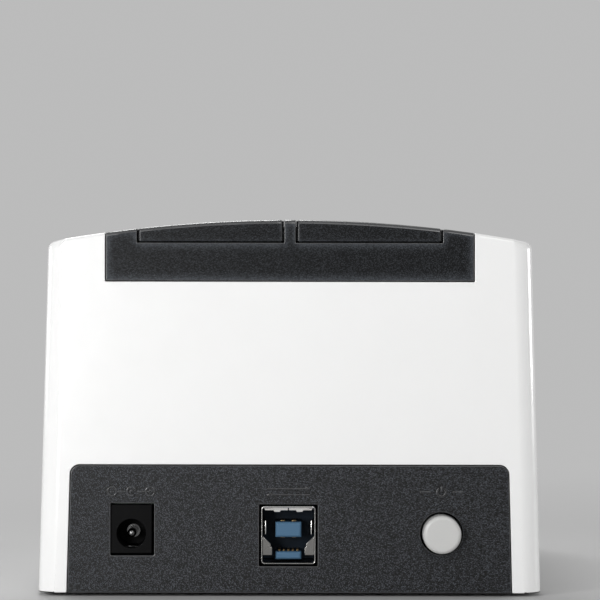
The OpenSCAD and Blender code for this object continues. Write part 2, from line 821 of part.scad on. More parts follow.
module contact_row(y0, n) {
  for (i = [0 : n - 1]) translate([sata_x - slot_w / 2, y0 + i * sata_pitch, board_z1 + sata_h - slot_depth])
    cube([0.35, 0.7, slot_depth - 1.2]);
}

module sata_contacts() {
  color(gold_c) both_sides() {
    contact_row(slot_y1 + 1.5, data_n);
    contact_row(slot_y2 + 1.7, power_n);
  }
}

// Type B socket hanging under the board, so its wide part is on top. Heights are taken down from its top.
module usb_shell() {
  z1 = usb_z0 + usb_h;
  x1 = usb_w / 2;
  yf = y_rear - usb_front;
  wing_x = x1 - usb_wing_w;
  color(steel_c) translate([usb_x, 0, 0]) difference() {
    union() {
      slab_y(yf - usb_l, yf) difference() {
        bent_outline(usb_w, usb_z0, usb_h, usb_bend_r);
        bent_outline(usb_w - 2 * usb_t, usb_z0 + usb_t, usb_h - 2 * usb_t, usb_bend_r - usb_t);
      }
      // Folded wings that narrow the mouth to the lower part
      both_sides() slab_y(yf - 3.5 * usb_t, yf - 2.3 * usb_t) polygon([
        [x1 - 0.1, z1 - 6.5], [x1 - 0.6, z1 - 6.85], [wing_x + 0.3, z1 - 8.35], [wing_x + 0.3, z1 - 9.05],
        [wing_x, z1 - 9.05], [wing_x, z1 - 10.9], [x1 - 0.1, z1 - 10.9]
      ]);
      // Turned-in lip along the top, split in the middle, with a short tab on each half
      both_sides() slab_y(yf - 2.5 * usb_t, yf - 1.4 * usb_t) polygon([
        [0.08, z1 - 0.1], [x1 - 0.5, z1 - 0.1], [x1 - 0.9, z1 - 1], [3.2, z1 - 1],
        [3.2, z1 - 1.35], [1.75, z1 - 1.35], [1.75, z1 - 1], [0.08, z1 - 1]
      ]);
      // Side spring fingers
      both_sides() translate([0, 0, z1 - 6.4]) linear_extrude(3.2) polygon([
        [x1 - 0.1, yf - 8], [x1 - 0.1, yf - 7.2], [x1 - 0.95, yf - 2.4], [x1 - 0.8, yf - 1.4],
        [x1 - 1.1, yf - 1.4], [x1 - 1.3, yf - 2.4], [x1 - 0.5, yf - 8]
      ]);
    }
    translate([0, yf - 0.7 * usb_l, usb_z0 - over]) cylinder(r = 3 * usb_t, h = over + 1.2 * usb_t);
  }
}

// Tongue of the USB socket with its nose bevelled all round, its lower face at z
module usb_tongue(z, h) {
  back = y_rear - usb_front - usb_mouth_l;
  nose = back + usb_tongue_l;
  half = usb_tongue_w / 2;
  b = usb_tongue_bevel;
  intersection() {
    translate([-half, 0, z]) rotate([90, 0, 90]) linear_extrude(usb_tongue_w) polygon([
      [back - over, 0], [nose - b, 0], [nose, b], [nose, h - b], [nose - b, h], [back - over, h]
    ]);
    translate([0, 0, z - over]) linear_extrude(h + 2 * over) polygon([
      [-half, back - over], [half, back - over], [half, nose - b], [half - b, nose], [b - half, nose],
      [-half, nose - b]
    ]);
  }
}

module usb_insulator() {
  z1 = usb_z0 + usb_h;
  yf = y_rear - usb_front;
  skin = usb_t + seat_gap / 2;
  color(blue_c) translate([usb_x, 0, 0]) union() {
    slab_y(yf - usb_l + slide_gap, yf - usb_mouth_l)
      bent_outline(usb_w - 2 * skin, usb_z0 + skin, usb_h - 2 * skin, usb_bend_r - skin);
    usb_tongue(z1 - usb_tongue_drop - usb_tongue_h, usb_tongue_h);
    usb_tongue(z1 - usb_lower_drop, usb_tongue_h / 2);
  }
}

// Blades above and below the upper tongue, and a row of five on the lower one
module usb_contacts() {
  z1 = usb_z0 + usb_h;
  back = y_rear - usb_front - usb_mouth_l + part_gap;
  l = usb_tongue_l - usb_contact_inset;
  blade = 0.26;
  color(gold_c) translate([usb_x, back, 0]) {
    for (x = [-1.25, 1.25], z = [z1 - usb_tongue_drop, z1 - usb_tongue_drop - usb_tongue_h - blade])
      translate([x - 0.5, 0, z]) cube([1, l, blade]);
    for (i = [-2 : 2])
      translate([i - 0.25, 0, z1 - usb_lower_drop + usb_tongue_h / 2]) cube([0.5, l, blade]);
  }
}

module dc_jack_body() {
  yf = y_rear - dc_front;
  color(panel_c) difference() {
    union() {
      // Front rim, clear of the rear edge of the board
      translate([dc_x - dc_w / 2, yf - dc_rim_l, dc_z1 + dc_rim_up - dc_h]) cube([dc_w, dc_rim_l, dc_h]);
      translate([dc_x - dc_w / 2 + slide_gap, yf - dc_l, dc_z1 - dc_h + 2 * slide_gap])
        cube([dc_w - 2 * slide_gap, dc_l, dc_h - 2 * slide_gap]);
    }
    bar_y(dc_x, dc_z, dc_bore_r, yf - dc_bore_l, yf + over);
    // Seat of the pin and slot of the leaf
    bar_y(dc_x, dc_z, dc_pin_r + pin_gap, yf - dc_l - over, yf);
    translate([dc_x - 1.4, yf - dc_bore_l, dc_z - dc_bore_r - 0.6])
      cube([2.8, dc_bore_l - dc_leaf_inset + 0.4, dc_bore_r]);
  }
}

module dc_jack_pin() {
  yf = y_rear - dc_front;
  color(steel_c) translate([dc_x, yf - dc_l, dc_z]) rotate([-90, 0, 0]) rotate_extrude() difference() {
    union() {
      square([dc_pin_r, dc_l - 1 - dc_pin_r]);
      translate([0, dc_l - 1 - dc_pin_r]) circle(r = dc_pin_r);
      translate([0, dc_l - dc_bore_l]) square([dc_pin_r + 0.5, 0.5]);
    }
    translate([-2 * dc_pin_r, 0]) square([2 * dc_pin_r, dc_l]);
  }
}

module dc_jack_leaf() {
  yf = y_rear - dc_front;
  y1 = yf - dc_leaf_inset;
  z0 = dc_z - dc_bore_r;
  color(steel_c) translate([dc_x - 1.2, 0, 0]) rotate([90, 0, 90]) linear_extrude(2.4) polygon([
    [yf - dc_bore_l + 0.1, z0 - 0.55], [y1 - 2.5, z0 - 0.2], [y1 - 1.1, z0 + 0.35], [y1, z0 - 0.1],
    [y1, z0 + 0.2], [y1 - 1.1, z0 + 0.65], [y1 - 2.6, z0 + 0.1], [yf - dc_bore_l + 0.1, z0 - 0.25]
  ]);
}

module power_switch() {
  color(panel_c) difference() {
    union() {
      translate([-button_x - switch_w / 2, switch_y1 - switch_l, button_z - switch_w / 2])
        cube([switch_w, switch_l, board_z0 - seat_gap - button_z + switch_w / 2]);
      bar_y(-button_x, button_z, plunger_w * 0.75 + 1, switch_y1 - over, switch_y1 + 0.6);
    }
    translate([
      -button_x - plunger_w / 2 - slide_gap,
      switch_y1 - plunger_in - button_travel - over,
      button_z - plunger_w / 2 - slide_gap
    ])
      cube([plunger_w + 2 * slide_gap, plunger_in + button_travel + 3 * over, plunger_w + 2 * slide_gap]);
  }
}

module switch_plunger() {
  y1 = y_rear - plunger_out;
  y0 = switch_y1 - plunger_in;
  color(white_c) translate([-button_x - plunger_w / 2, y0, button_z - plunger_w / 2])
    cube([plunger_w, y1 - y0, plunger_w]);
}

module power_button() {
  post = plunger_w * 0.75 + 0.8;
  l = cap_l + button_proud;
  color(grey_c) difference() {
    translate([-button_x, y_rear - cap_l, button_z]) rotate([-90, 0, 0]) rotate_extrude() difference() {
      union() {
        square([button_r, l - button_edge_r]);
        square([button_r - button_edge_r, l]);
        translate([button_r - button_edge_r, l - button_edge_r]) circle(r = button_edge_r);
      }
      translate([post, -over]) square([button_r - cap_wall - post, l - 2 + over]);
    }
    translate([
      -button_x - plunger_w / 2 - pin_gap,
      y_rear - cap_l - over,
      button_z - plunger_w / 2 - pin_gap
    ])
      cube([plunger_w + 2 * pin_gap, cap_l - plunger_out + over + seat_gap, plunger_w + 2 * pin_gap]);
  }
}

module light_pipe() {
  w = (lens_n - 1) * lens_step + 2 * lens_r + 2;
  y0 = y_front + wall + part_gap;
  color([0.85, 0.9, 0.95]) union() {
    translate([-w / 2, y0, board_z0 - seat_gap - bar_h]) cube([w, bar_t, bar_h]);
    for (i = [0 : lens_n - 1]) bar_y(lens_x(i), lens_z, lens_r, y_front, y0 + over / 2);
  }
}

module status_leds() {
  color([0.95, 0.95, 0.85]) for (i = [0 : lens_n - 1])
    translate([lens_x(i) - led_w / 2, board_y0 + slide_gap, board_z0 - led_h]) cube([led_w, led_l, led_h]);
}

module bridge_chip() {
  color(black_c) translate([-chip_w / 2, chip_y - chip_w / 2, board_z0 - chip_t])
    cube([chip_w, chip_w, chip_t]);
}

// Cans with the crimp groove near the board
module filter_capacitors() {
  spots = [[cap_x, cap_y], [cap_x, cap_y - cap_step], [cap_x - 2 * post_x, cap_y - cap_step / 2]];
  crimp = 0.7 * cap_h;
  color(steel_c) for (p = spots) translate([p[0], p[1], board_z0 - cap_h]) rotate_extrude() polygon([
    [0, 0], [cap_r - cap_groove, 0], [cap_r, cap_groove], [cap_r, crimp - cap_groove],
    [cap_r - cap_groove, crimp], [cap_r, crimp + cap_groove], [cap_r, cap_h], [0, cap_h]
  ]);
}

// Shielded coils: a round drum on a square foot
module power_inductors() {
  foot_t = choke_h / 4;
  color(panel_c) for (x = [-choke_x, choke_x]) translate([x, choke_y, board_z0 - choke_h]) union() {
    cylinder(r = 0.46 * choke_w, h = choke_h);
    translate([-choke_w / 2, -choke_w / 2, choke_h - foot_t]) cube([choke_w, choke_w, foot_t]);
  }
}

module clock_crystal() {
  color(steel_c) translate([0, crystal_y, board_z0 - crystal_h]) union() {
    translate([-crystal_l / 2, -crystal_r, 0]) cube([crystal_l, 2 * crystal_r, crystal_h]);
    for (x = [-1, 1]) translate([x * crystal_l / 2, 0, 0]) cylinder(r = crystal_r, h = crystal_h);
  }
}

upper_housing();
top_bezel();
drive_well(-1);  // left_drive_well
drive_well(1);  // right_drive_well
drive_flap(-1);  // left_flap
drive_flap(1);  // right_flap
flap_pin(-1);  // left_flap_pin
flap_pin(1);  // right_flap_pin
flap_spring(-1);  // left_flap_spring
flap_spring(1);  // right_flap_spring
rear_panel();
base_plate();
rubber_feet();
base_screws();
main_board();
board_screws();
well_screws();
sata_socket(-1);  // left_sata_socket
sata_socket(1);  // right_sata_socket
sata_contacts();
usb_shell();
usb_insulator();
usb_contacts();
dc_jack_body();
dc_jack_pin();
dc_jack_leaf();
power_switch();
switch_plunger();
power_button();
light_pipe();
status_leds();
bridge_chip();
filter_capacitors();
power_inductors();
clock_crystal();
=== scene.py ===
"""Looks of a two-bay hard drive docking station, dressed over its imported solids."""

from __future__ import annotations

import logging
import math
from bisect import bisect_left
from collections.abc import Callable, Iterator
from contextlib import contextmanager
from dataclasses import dataclass, field, replace
from enum import Enum

import bmesh
import bpy
from mathutils import Matrix, Vector


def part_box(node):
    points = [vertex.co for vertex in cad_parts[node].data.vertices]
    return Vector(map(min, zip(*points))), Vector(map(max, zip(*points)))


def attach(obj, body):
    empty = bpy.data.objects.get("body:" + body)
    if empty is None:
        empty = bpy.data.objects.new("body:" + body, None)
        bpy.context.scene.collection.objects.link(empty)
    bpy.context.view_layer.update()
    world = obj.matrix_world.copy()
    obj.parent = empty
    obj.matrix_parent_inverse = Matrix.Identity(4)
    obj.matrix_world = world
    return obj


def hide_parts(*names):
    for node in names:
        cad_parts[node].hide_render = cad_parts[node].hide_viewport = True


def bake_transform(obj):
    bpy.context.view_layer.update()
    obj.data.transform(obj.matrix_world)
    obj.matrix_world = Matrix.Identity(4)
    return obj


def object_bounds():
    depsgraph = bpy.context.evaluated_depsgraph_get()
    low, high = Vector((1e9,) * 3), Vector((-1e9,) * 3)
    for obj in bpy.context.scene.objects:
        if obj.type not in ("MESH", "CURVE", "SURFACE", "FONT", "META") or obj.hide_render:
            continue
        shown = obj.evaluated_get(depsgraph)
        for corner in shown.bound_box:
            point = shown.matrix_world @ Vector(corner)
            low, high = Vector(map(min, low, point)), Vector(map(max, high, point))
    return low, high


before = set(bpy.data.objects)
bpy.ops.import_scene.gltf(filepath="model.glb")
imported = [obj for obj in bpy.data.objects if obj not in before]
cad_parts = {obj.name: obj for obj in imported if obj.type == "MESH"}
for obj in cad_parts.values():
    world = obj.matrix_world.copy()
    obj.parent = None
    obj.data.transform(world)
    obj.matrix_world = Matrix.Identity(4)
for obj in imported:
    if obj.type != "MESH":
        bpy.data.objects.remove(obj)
CAD_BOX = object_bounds()

LOG = logging.getLogger("docking_station")
MM = 0.001
Colour = tuple[float, float, float]
Piece = bpy.types.Object


class Body(str, Enum):
    """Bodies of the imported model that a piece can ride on."""

    DOCK = "dock"
    RIGHT_FLAP = "right_flap"
    LEFT_FLAP = "left_flap"
    BUTTON = "power_button"


class Slot(str, Enum):
    """Material slots of the record."""

    WHITE = "white_shell"
    SATIN = "black_satin"
    GRAINED = "black_grained"
    BASE = "black_base"
    MOULDING = "black_moulding"
    BUTTON = "grey_button"
    NATURAL = "natural_plastic"
    BLUE = "blue_plastic"
    CLEAR = "clear_plastic"
    BOARD = "green_board"
    STEEL = "plated_steel"
    SPRING = "spring_steel"
    GOLD = "contact_gold"
    CAN = "can_aluminium"
    RUBBER = "foot_rubber"


class Side(Enum):
    """Left and right bay, seen from the front, as the sign of X."""

    LEFT = -1
    RIGHT = 1

    @property
    def word(self) -> str:
        """The side's name as it stands in node names."""
        return self.name.lower()

    @property
    def flap(self) -> Body:
        """The flap's body on this side."""
        return Body.LEFT_FLAP if self is Side.LEFT else Body.RIGHT_FLAP


class NodeDesk:
    """A material's node tree, with short ways to add and join its nodes."""

    PEBBLE_SPAN = 0.8
    EDGE_SAMPLES = 8
    EDGE_TILT = 0.75

    def __init__(self, name: str) -> None:
        """Starts an empty material.

        Args:
            name: name of the new material.
        """
        self.material = bpy.data.materials.new(name)
        self.material.use_nodes = True
        self.tree = self.material.node_tree
        self.tree.nodes.clear()
        self.shader = self.add("ShaderNodeBsdfPrincipled")
        self.output = self.add("ShaderNodeOutputMaterial")
        self.join(self.shader.outputs["BSDF"], self.output.inputs["Surface"])
        self.place = self.add("ShaderNodeTexCoord").outputs["Object"]

    def add(self, kind: str, **inputs: object) -> bpy.types.Node:
        """Adds a node.

        Args:
            kind: the node's type name.
            inputs: values of its sockets, with underscores for spaces.

        Returns:
            The new node.
        """
        node = self.tree.nodes.new(kind)
        for name, value in inputs.items():
            node.inputs[name.replace("_", " ")].default_value = value
        return node

    def join(self, source: bpy.types.NodeSocket, target: bpy.types.NodeSocket) -> None:
        """Links two sockets."""
        self.tree.links.new(source, target)

    def set(self, **inputs: object) -> None:
        """Sets plain values on the shader's own sockets."""
        for name, value in inputs.items():
            self.shader.inputs[name.replace("_", " ")].default_value = value

    def stretched(self, scale: tuple[float, float, float]) -> bpy.types.NodeSocket:
        """Object coordinates scaled by axis.

        Args:
            scale: factor along X, Y and Z.

        Returns:
            The vector socket.
        """
        node = self.add("ShaderNodeMapping", Scale=scale)
        self.join(self.place, node.inputs["Vector"])
        return node.outputs["Vector"]

    def noise(
        self,
        size: float,
        detail: float = 2.0,
        rough: float = 0.5,
        place: bpy.types.NodeSocket | None = None,
    ) -> bpy.types.NodeSocket:
        """Noise of a given real size.

        Args:
            size: length of one wave in metres.
            detail: number of finer layers.
            rough: strength of the finer layers.
            place: coordinates, or None for plain Object coordinates.

        Returns:
            The factor socket.
        """
        node = self.add("ShaderNodeTexNoise", Scale=1.0 / size, Detail=detail, Roughness=rough)
        self.join(place or self.place, node.inputs["Vector"])
        return node.outputs["Fac"]

    def pebbles(self, size: float) -> tuple[bpy.types.NodeSocket, bpy.types.NodeSocket]:
        """Close-set pebbles, each with its own tone.

        Args:
            size: width of one pebble in metres.

        Returns:
            The tone and the height sockets, both from 0 to 1.
        """
        cells = self.add("ShaderNodeTexVoronoi", Scale=1.0 / size)
        self.join(self.place, cells.inputs["Vector"])
        tone = self.add("ShaderNodeSeparateColor")
        self.join(cells.outputs["Color"], tone.inputs["Color"])
        return tone.outputs["Red"], self.ranged(cells.outputs["Distance"], 1.0, 0.0, 0.0, self.PEBBLE_SPAN)

    def calc(
        self, operation: str, first: bpy.types.NodeSocket, second: bpy.types.NodeSocket
    ) -> bpy.types.NodeSocket:
        """Adds or multiplies two factors.

        Args:
            operation: ADD or MULTIPLY.
            first: one factor.
            second: the other.

        Returns:
            The result socket.
        """
        node = self.add("ShaderNodeMath")
        node.operation = operation
        self.join(first, node.inputs[0])
        self.join(second, node.inputs[1])
        return node.outputs["Value"]

    def edges(self, reach: float) -> bpy.types.NodeSocket:
        """Factor that climbs from 0 on an open face to 1 at its edges.

        Args:
            reach: distance from an edge at which the climb starts, in metres.

        Returns:
            The factor socket.
        """
        bevel = self.add("ShaderNodeBevel", Radius=reach)
        bevel.samples = self.EDGE_SAMPLES
        flat = self.add("ShaderNodeNewGeometry")
        tilt = self.add("ShaderNodeVectorMath")
        tilt.operation = "DOT_PRODUCT"
        self.join(bevel.outputs["Normal"], tilt.inputs[0])
        self.join(flat.outputs["Normal"], tilt.inputs[1])
        return self.ranged(tilt.outputs["Value"], 0.0, 1.0, 1.0, self.EDGE_TILT)

    def ranged(
        self, value: bpy.types.NodeSocket, low: float, high: float, start: float = 0.3, end: float = 0.7
    ) -> bpy.types.NodeSocket:
        """Maps a factor to a range.

        Args:
            value: socket to map.
            low: result at start.
            high: result at end.
            start: input taken as low.
            end: input taken as high.

        Returns:
            The mapped socket.
        """
        node = self.add("ShaderNodeMapRange")
        for name, number in {"From Min": start, "From Max": end, "To Min": low, "To Max": high}.items():
            node.inputs[name].default_value = number
        self.join(value, node.inputs["Value"])
        return node.outputs["Result"]

    def tinted(self, factor: bpy.types.NodeSocket, dark: Colour, light: Colour) -> None:
        """Runs the base colour between two tones.

        Args:
            factor: socket from 0 to 1.
            dark: colour at 0.
            light: colour at 1.
        """
        ramp = self.add("ShaderNodeValToRGB")
        ramp.color_ramp.elements[0].color = (*dark, 1.0)
        ramp.color_ramp.elements[1].color = (*light, 1.0)
        self.join(factor, ramp.inputs["Fac"])
        self.join(ramp.outputs["Color"], self.shader.inputs["Base Color"])

    def roughen(self, factor: bpy.types.NodeSocket, low: float, high: float) -> None:
        """Lets the roughness wander between two values."""
        self.join(self.ranged(factor, low, high), self.shader.inputs["Roughness"])

    def emboss(self, height: bpy.types.NodeSocket, depth: float, strength: float = 1.0) -> None:
        """Bumps the surface, over any bump that is there.

        Args:
            height: height socket.
            depth: real height of the bump in metres.
            strength: share of the bump that shows.
        """
        bump = self.add("ShaderNodeBump", Strength=strength, Distance=depth)
        self.join(height, bump.inputs["Height"])
        target = self.shader.inputs["Normal"]
        if target.is_linked:
            self.join(target.links[0].from_socket, bump.inputs["Normal"])
        self.join(bump.outputs["Normal"], target)


def shade(colour: Colour, factor: float) -> Colour:
    """A colour made darker or lighter by a factor."""
    return tuple(min(1.0, part * factor) for part in colour)


@dataclass(frozen=True)
class Finish:
    """A surface finish, made into a material the first time it is used."""

    name: str
    slot: Slot
    colour: Colour
    roughness: float
    edge: "Finish | None" = None

    def lay_on(self, piece: Piece) -> None:
        """Gives a piece this finish, and the edge's own finish as its second material.

        Args:
            piece: the mesh to finish.
        """
        piece.data.materials.clear()
        for coat in (self, self.edge):
            if coat is not None:
                piece.data.materials.append(coat.material())

    def material(self) -> bpy.types.Material:
        """The finish's material, made once.

        Returns:
            The material.
        """
        found = bpy.data.materials.get(self.name)
        if found is not None:
            return found
        desk = NodeDesk(self.name)
        desk.set(Base_Color=(*self.colour, 1.0), Roughness=self.roughness)
        self.detail(desk)
        return desk.material

    def detail(self, desk: NodeDesk) -> None:
        """Adds what this finish shows up close."""
        raise NotImplementedError


@dataclass(frozen=True)
class Moulded(Finish):
    """Moulded plastic with a faint mottle and a fine skin."""

    skin_size: float = 0.4 * MM
    skin_depth: float = 0.004 * MM
    mottle: float = 0.06
    mottle_size: float = 14 * MM
    spread: float = 0.05
    spread_size: float = 5 * MM
    gloss: float = 0.5
    coat: float = 0.0
    coat_rough: float = 0.06

    def detail(self, desk: NodeDesk) -> None:
        """Mottles the colour, lets the gloss wander and adds the skin.

        Args:
            desk: the material's nodes.
        """
        broad = desk.noise(self.mottle_size, detail=3.0)
        desk.tinted(broad, shade(self.colour, 1 - self.mottle), shade(self.colour, 1 + self.mottle))
        wander = desk.noise(self.spread_size, detail=4.0)
        desk.roughen(wander, self.roughness - self.spread, self.roughness + self.spread)
        desk.emboss(desk.noise(self.skin_size, detail=3.0), self.skin_depth)
        desk.set(Specular_IOR_Level=self.gloss)
        if self.coat:
            desk.set(Coat_Weight=self.coat, Coat_Roughness=self.coat_rough)


@dataclass(frozen=True)
class SparkGrain(Finish):
    """Plastic from a spark-eroded mould: coarse pebbles with finer grit between."""

    pebble: float = 0.34 * MM
    depth: float = 0.02 * MM
    lift: float = 6.0
    sheen: float = 0.25
    share: float = 1.0
    glint_from: float = 0.1
    glint_to: float = 0.6
    rub: float = 0.0
    edge_lift_w: float = 2.0 * MM
    edge_lift_spread: float = 0.4
    spread: float = 0.05
    spread_pebbles: float = 4.0

    def detail(self, desk: NodeDesk) -> None:
        """Raises the pebbles, lightens them by their own random tone, most at each pebble's top as a painted
        glint, and lightens them near the edges.

        Args:
            desk: the material's nodes.
        """
        tone, height = desk.pebbles(self.pebble)
        # Painted glint: each pebble's random tone, brightest at its top.
        pebble_glint = desk.calc("MULTIPLY", tone, height)
        grain_and_glint = desk.ranged(pebble_glint, 0.0, self.share, self.glint_from, self.glint_to)
        # Lighter near the edges, by each pebble's tone.
        if self.rub:
            faint, strong = self.rub * (1 - self.edge_lift_spread), self.rub * (1 + self.edge_lift_spread)
            edge_tone = desk.ranged(tone, faint, strong, 0.0, 1.0)
            grain_and_glint = desk.calc("ADD", grain_and_glint, desk.calc("MULTIPLY", desk.edges(self.edge_lift_w), edge_tone))
        desk.tinted(grain_and_glint, self.colour, shade(self.colour, self.lift))
        desk.emboss(height, self.depth)
        wander = desk.noise(self.pebble * self.spread_pebbles, detail=3.0)
        desk.roughen(wander, self.roughness - self.spread, self.roughness + self.spread)
        desk.set(Specular_IOR_Level=self.sheen)


@dataclass(frozen=True)
class Plated(Finish):
    """Plated or rolled metal with a fine drawn grain."""

    grain: tuple[float, float, float] = (1.0, 0.06, 1.0)
    grain_size: float = 0.12 * MM
    grain_depth: float = 0.003 * MM
    grain_show: float = 0.6
    cloud_size: float = 2.5 * MM
    cloud_dark: float = 0.82
    cloud_light: float = 1.08
    spread: float = 0.1

    def detail(self, desk: NodeDesk) -> None:
        """Draws the grain along the rolling direction and lets the tone wander.

        Args:
            desk: the material's nodes.
        """
        drawn = desk.noise(self.grain_size, rough=0.6, place=desk.stretched(self.grain))
        cloud = desk.noise(self.cloud_size, detail=4.0)
        desk.tinted(cloud, shade(self.colour, self.cloud_dark), shade(self.colour, self.cloud_light))
        desk.roughen(drawn, self.roughness - self.spread, self.roughness + self.spread)
        desk.emboss(drawn, self.grain_depth, self.grain_show)
        desk.set(Metallic=1.0)


@dataclass(frozen=True)
class Rubber(Finish):
    """Soft matt rubber with a dusty bloom."""

    bare: float = 0.8
    bloom: float = 1.6
    bloom_size: float = 1.6 * MM
    skin_size: float = 0.15 * MM
    skin_depth: float = 0.012 * MM
    gloss: float = 0.3

    def detail(self, desk: NodeDesk) -> None:
        """Adds the bloom and a fine open skin.

        Args:
            desk: the material's nodes.
        """
        dust = desk.noise(self.bloom_size, detail=5.0, rough=0.6)
        desk.tinted(dust, shade(self.colour, self.bare), shade(self.colour, self.bloom))
        desk.emboss(desk.noise(self.skin_size, detail=3.0), self.skin_depth)
        desk.set(Specular_IOR_Level=self.gloss)


@dataclass(frozen=True)
class SolderMask(Finish):
    """Lacquered circuit board with copper tracks under the lacquer."""

    track: Colour = (0.012, 0.06, 0.03)
    pitch: float = 2.4 * MM
    track_share: float = 0.035
    track_blur: float = 0.1
    track_rise: float = 0.02 * MM
    weave: float = 0.5 * MM
    spread: float = 0.06

    def detail(self, desk: NodeDesk) -> None:
        """Lays the tracks and the glass weave.

        Args:
            desk: the material's nodes.
        """
        brick = desk.add(
            "ShaderNodeTexBrick",
            Scale=1.0 / self.pitch,
            Mortar_Size=self.track_share,
            Mortar_Smooth=self.track_blur,
        )
        desk.join(desk.place, brick.inputs["Vector"])
        for name in ("Color1", "Color2"):
            brick.inputs[name].default_value = (*self.colour, 1.0)
        brick.inputs["Mortar"].default_value = (*self.track, 1.0)
        desk.join(brick.outputs["Color"], desk.shader.inputs["Base Color"])
        desk.emboss(brick.outputs["Fac"], self.track_rise)
        desk.roughen(desk.noise(self.weave), self.roughness - self.spread, self.roughness + self.spread)


@dataclass(frozen=True)
class DepthShadedSocket(Finish):
    """Coloured plastic with painted shade: its own colour on the tongue's front, running dark with depth
    down in the socket.
    """

    tip: float = 0.0
    unshaded_depth: float = 0.4 * MM
    depth: float = 3.0 * MM
    # Colour of the painted shade deep in the socket.
    dark: Colour = (0.002, 0.008, 0.017)
    spread: float = 0.06
    spread_size: float = 0.8 * MM
    skin_size: float = 0.2 * MM
    skin_depth: float = 0.006 * MM
    gloss: float = 0.12

    def detail(self, desk: NodeDesk) -> None:
        """Paints shade that darkens the colour with depth down the socket, and adds a fine skin.

        Args:
            desk: the material's nodes.
        """
        parts = desk.add("ShaderNodeSeparateXYZ")
        desk.join(desk.place, parts.inputs["Vector"])
        # Painted shade: full colour near the tongue's front, dark colour deeper in.
        front = self.tip - self.unshaded_depth
        out_of_painted_shade = desk.ranged(parts.outputs["Y"], 0.0, 1.0, front - self.depth, front)
        desk.tinted(out_of_painted_shade, self.dark, self.colour)
        wander = desk.noise(self.spread_size, detail=3.0)
        desk.roughen(wander, self.roughness - self.spread, self.roughness + self.spread)
        desk.emboss(desk.noise(self.skin_size, detail=3.0), self.skin_depth)
        desk.set(Specular_IOR_Level=self.gloss)


@dataclass(frozen=True)
class ClearPlastic(Finish):
    """Clear moulded plastic with a little haze."""

    clarity: float = 0.9
    bending: float = 1.49
    haze: float = 0.08
    haze_size: float = 1.0 * MM
    flow_size: float = 1.5 * MM
    flow_depth: float = 0.004 * MM

    def detail(self, desk: NodeDesk) -> None:
        """Lets light through and adds flow marks.

        Args:
            desk: the material's nodes.
        """
        desk.set(Transmission_Weight=self.clarity, IOR=self.bending)
        desk.roughen(desk.noise(self.haze_size, detail=3.0), self.roughness, self.roughness + self.haze)
        desk.emboss(desk.noise(self.flow_size), self.flow_depth)


WHITE_GLOSS = Moulded(
    "shell_gloss_white", Slot.WHITE, (0.86, 0.86, 0.855), 0.2,
    skin_size=1.6 * MM, skin_depth=0.0016 * MM, mottle=0.012, spread=0.04, coat=0.35,
)
# Lighter edge colour: partly rubbed wear, partly a painted highlight where edges catch the light.
EDGE_WEAR_AND_HIGHLIGHT = Moulded(
    "black_edge_wear_and_highlight", Slot.SATIN, (0.04, 0.041, 0.043), 0.28, skin_depth=0.003 * MM, mottle=0.3, gloss=0.9
)
BLACK_SATIN = SparkGrain(
    "flap_satin_black", Slot.SATIN, (0.004, 0.0044, 0.005), 0.36, EDGE_WEAR_AND_HIGHLIGHT,
    pebble=0.22 * MM, depth=0.014 * MM, lift=16.0, sheen=0.12, share=0.52, rub=0.25,
)
BEZEL_SATIN = replace(BLACK_SATIN, name="bezel_satin_black", rub=0.75, edge_lift_w=3.6 * MM)
BLACK_GRAIN = SparkGrain(
    "panel_grained_black", Slot.GRAINED, (0.001, 0.0011, 0.0013), 0.36, EDGE_WEAR_AND_HIGHLIGHT,
    pebble=0.22 * MM, depth=0.04 * MM, lift=66.0, sheen=0.24,
)
BLACK_BASE = SparkGrain("base_grained_black", Slot.BASE, (0.006, 0.006, 0.0065), 0.5, pebble=0.5 * MM)
# The plastic's own black, darkened further as painted shade for the recessed power inlet face.
BLACK_MOULDING = Moulded(
    "socket_black", Slot.MOULDING, (0.0022, 0.0022, 0.0024), 0.5, skin_depth=0.008 * MM, gloss=0.06
)
GREY_BUTTON = Moulded(
    "button_light_grey", Slot.BUTTON, (0.54, 0.54, 0.53), 0.36,
    skin_size=0.3 * MM, skin_depth=0.005 * MM, mottle=0.02,
)
NATURAL = Moulded("plunger_natural", Slot.NATURAL, (0.68, 0.66, 0.6), 0.42, mottle=0.03)
# Blue insulator with painted shade down in the USB socket.
BLUE = DepthShadedSocket("socket_blue_painted_shade", Slot.BLUE, (0.07, 0.145, 0.235), 0.42, tip=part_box("usb_insulator")[1].y)
CLEAR = ClearPlastic("light_pipe_clear", Slot.CLEAR, (0.93, 0.95, 0.97), 0.1)
BOARD = SolderMask("board_dark_green", Slot.BOARD, (0.003, 0.02, 0.009), 0.3)
NICKEL = Plated("socket_nickel", Slot.STEEL, (0.28, 0.275, 0.265), 0.16)
# Much lighter copy of the nickel: a painted highlight on the USB shell's top lip and springs.
NICKEL_PAINTED_HIGHLIGHT = replace(NICKEL, name="socket_nickel_painted_highlight", colour=(0.92, 0.91, 0.89))
# Darkened nickels: painted shade on the contact leaf and the pin down in the power inlet's bore.
LEAF_NICKEL_PAINTED_SHADE = Plated("inlet_leaf_nickel_painted_shade", Slot.STEEL, (0.035, 0.035, 0.035), 0.22, spread=0.05)
PIN_NICKEL_PAINTED_SHADE = Plated("inlet_pin_nickel_painted_shade", Slot.STEEL, (0.14, 0.14, 0.14), 0.12, spread=0.03)
SPRING_WIRE = Plated("spring_wire", Slot.SPRING, (0.42, 0.42, 0.43), 0.28, grain_size=0.2 * MM)
# Darkened copy of the gold: painted shade on the blades down in the USB socket.
BLADE_GOLD_PAINTED_SHADE = Plated("usb_blade_gold_painted_shade", Slot.GOLD, (0.2, 0.14, 0.07), 0.4)
GOLD = Plated("contact_gold_plate", Slot.GOLD, (0.78, 0.55, 0.24), 0.26)
CAN = Plated("can_aluminium_drawn", Slot.CAN, (0.7, 0.7, 0.71), 0.34, grain=(1.0, 1.0, 0.08))
FOOT_RUBBER = Rubber("foot_rubber_black", Slot.RUBBER, (0.018, 0.018, 0.018), 0.75)


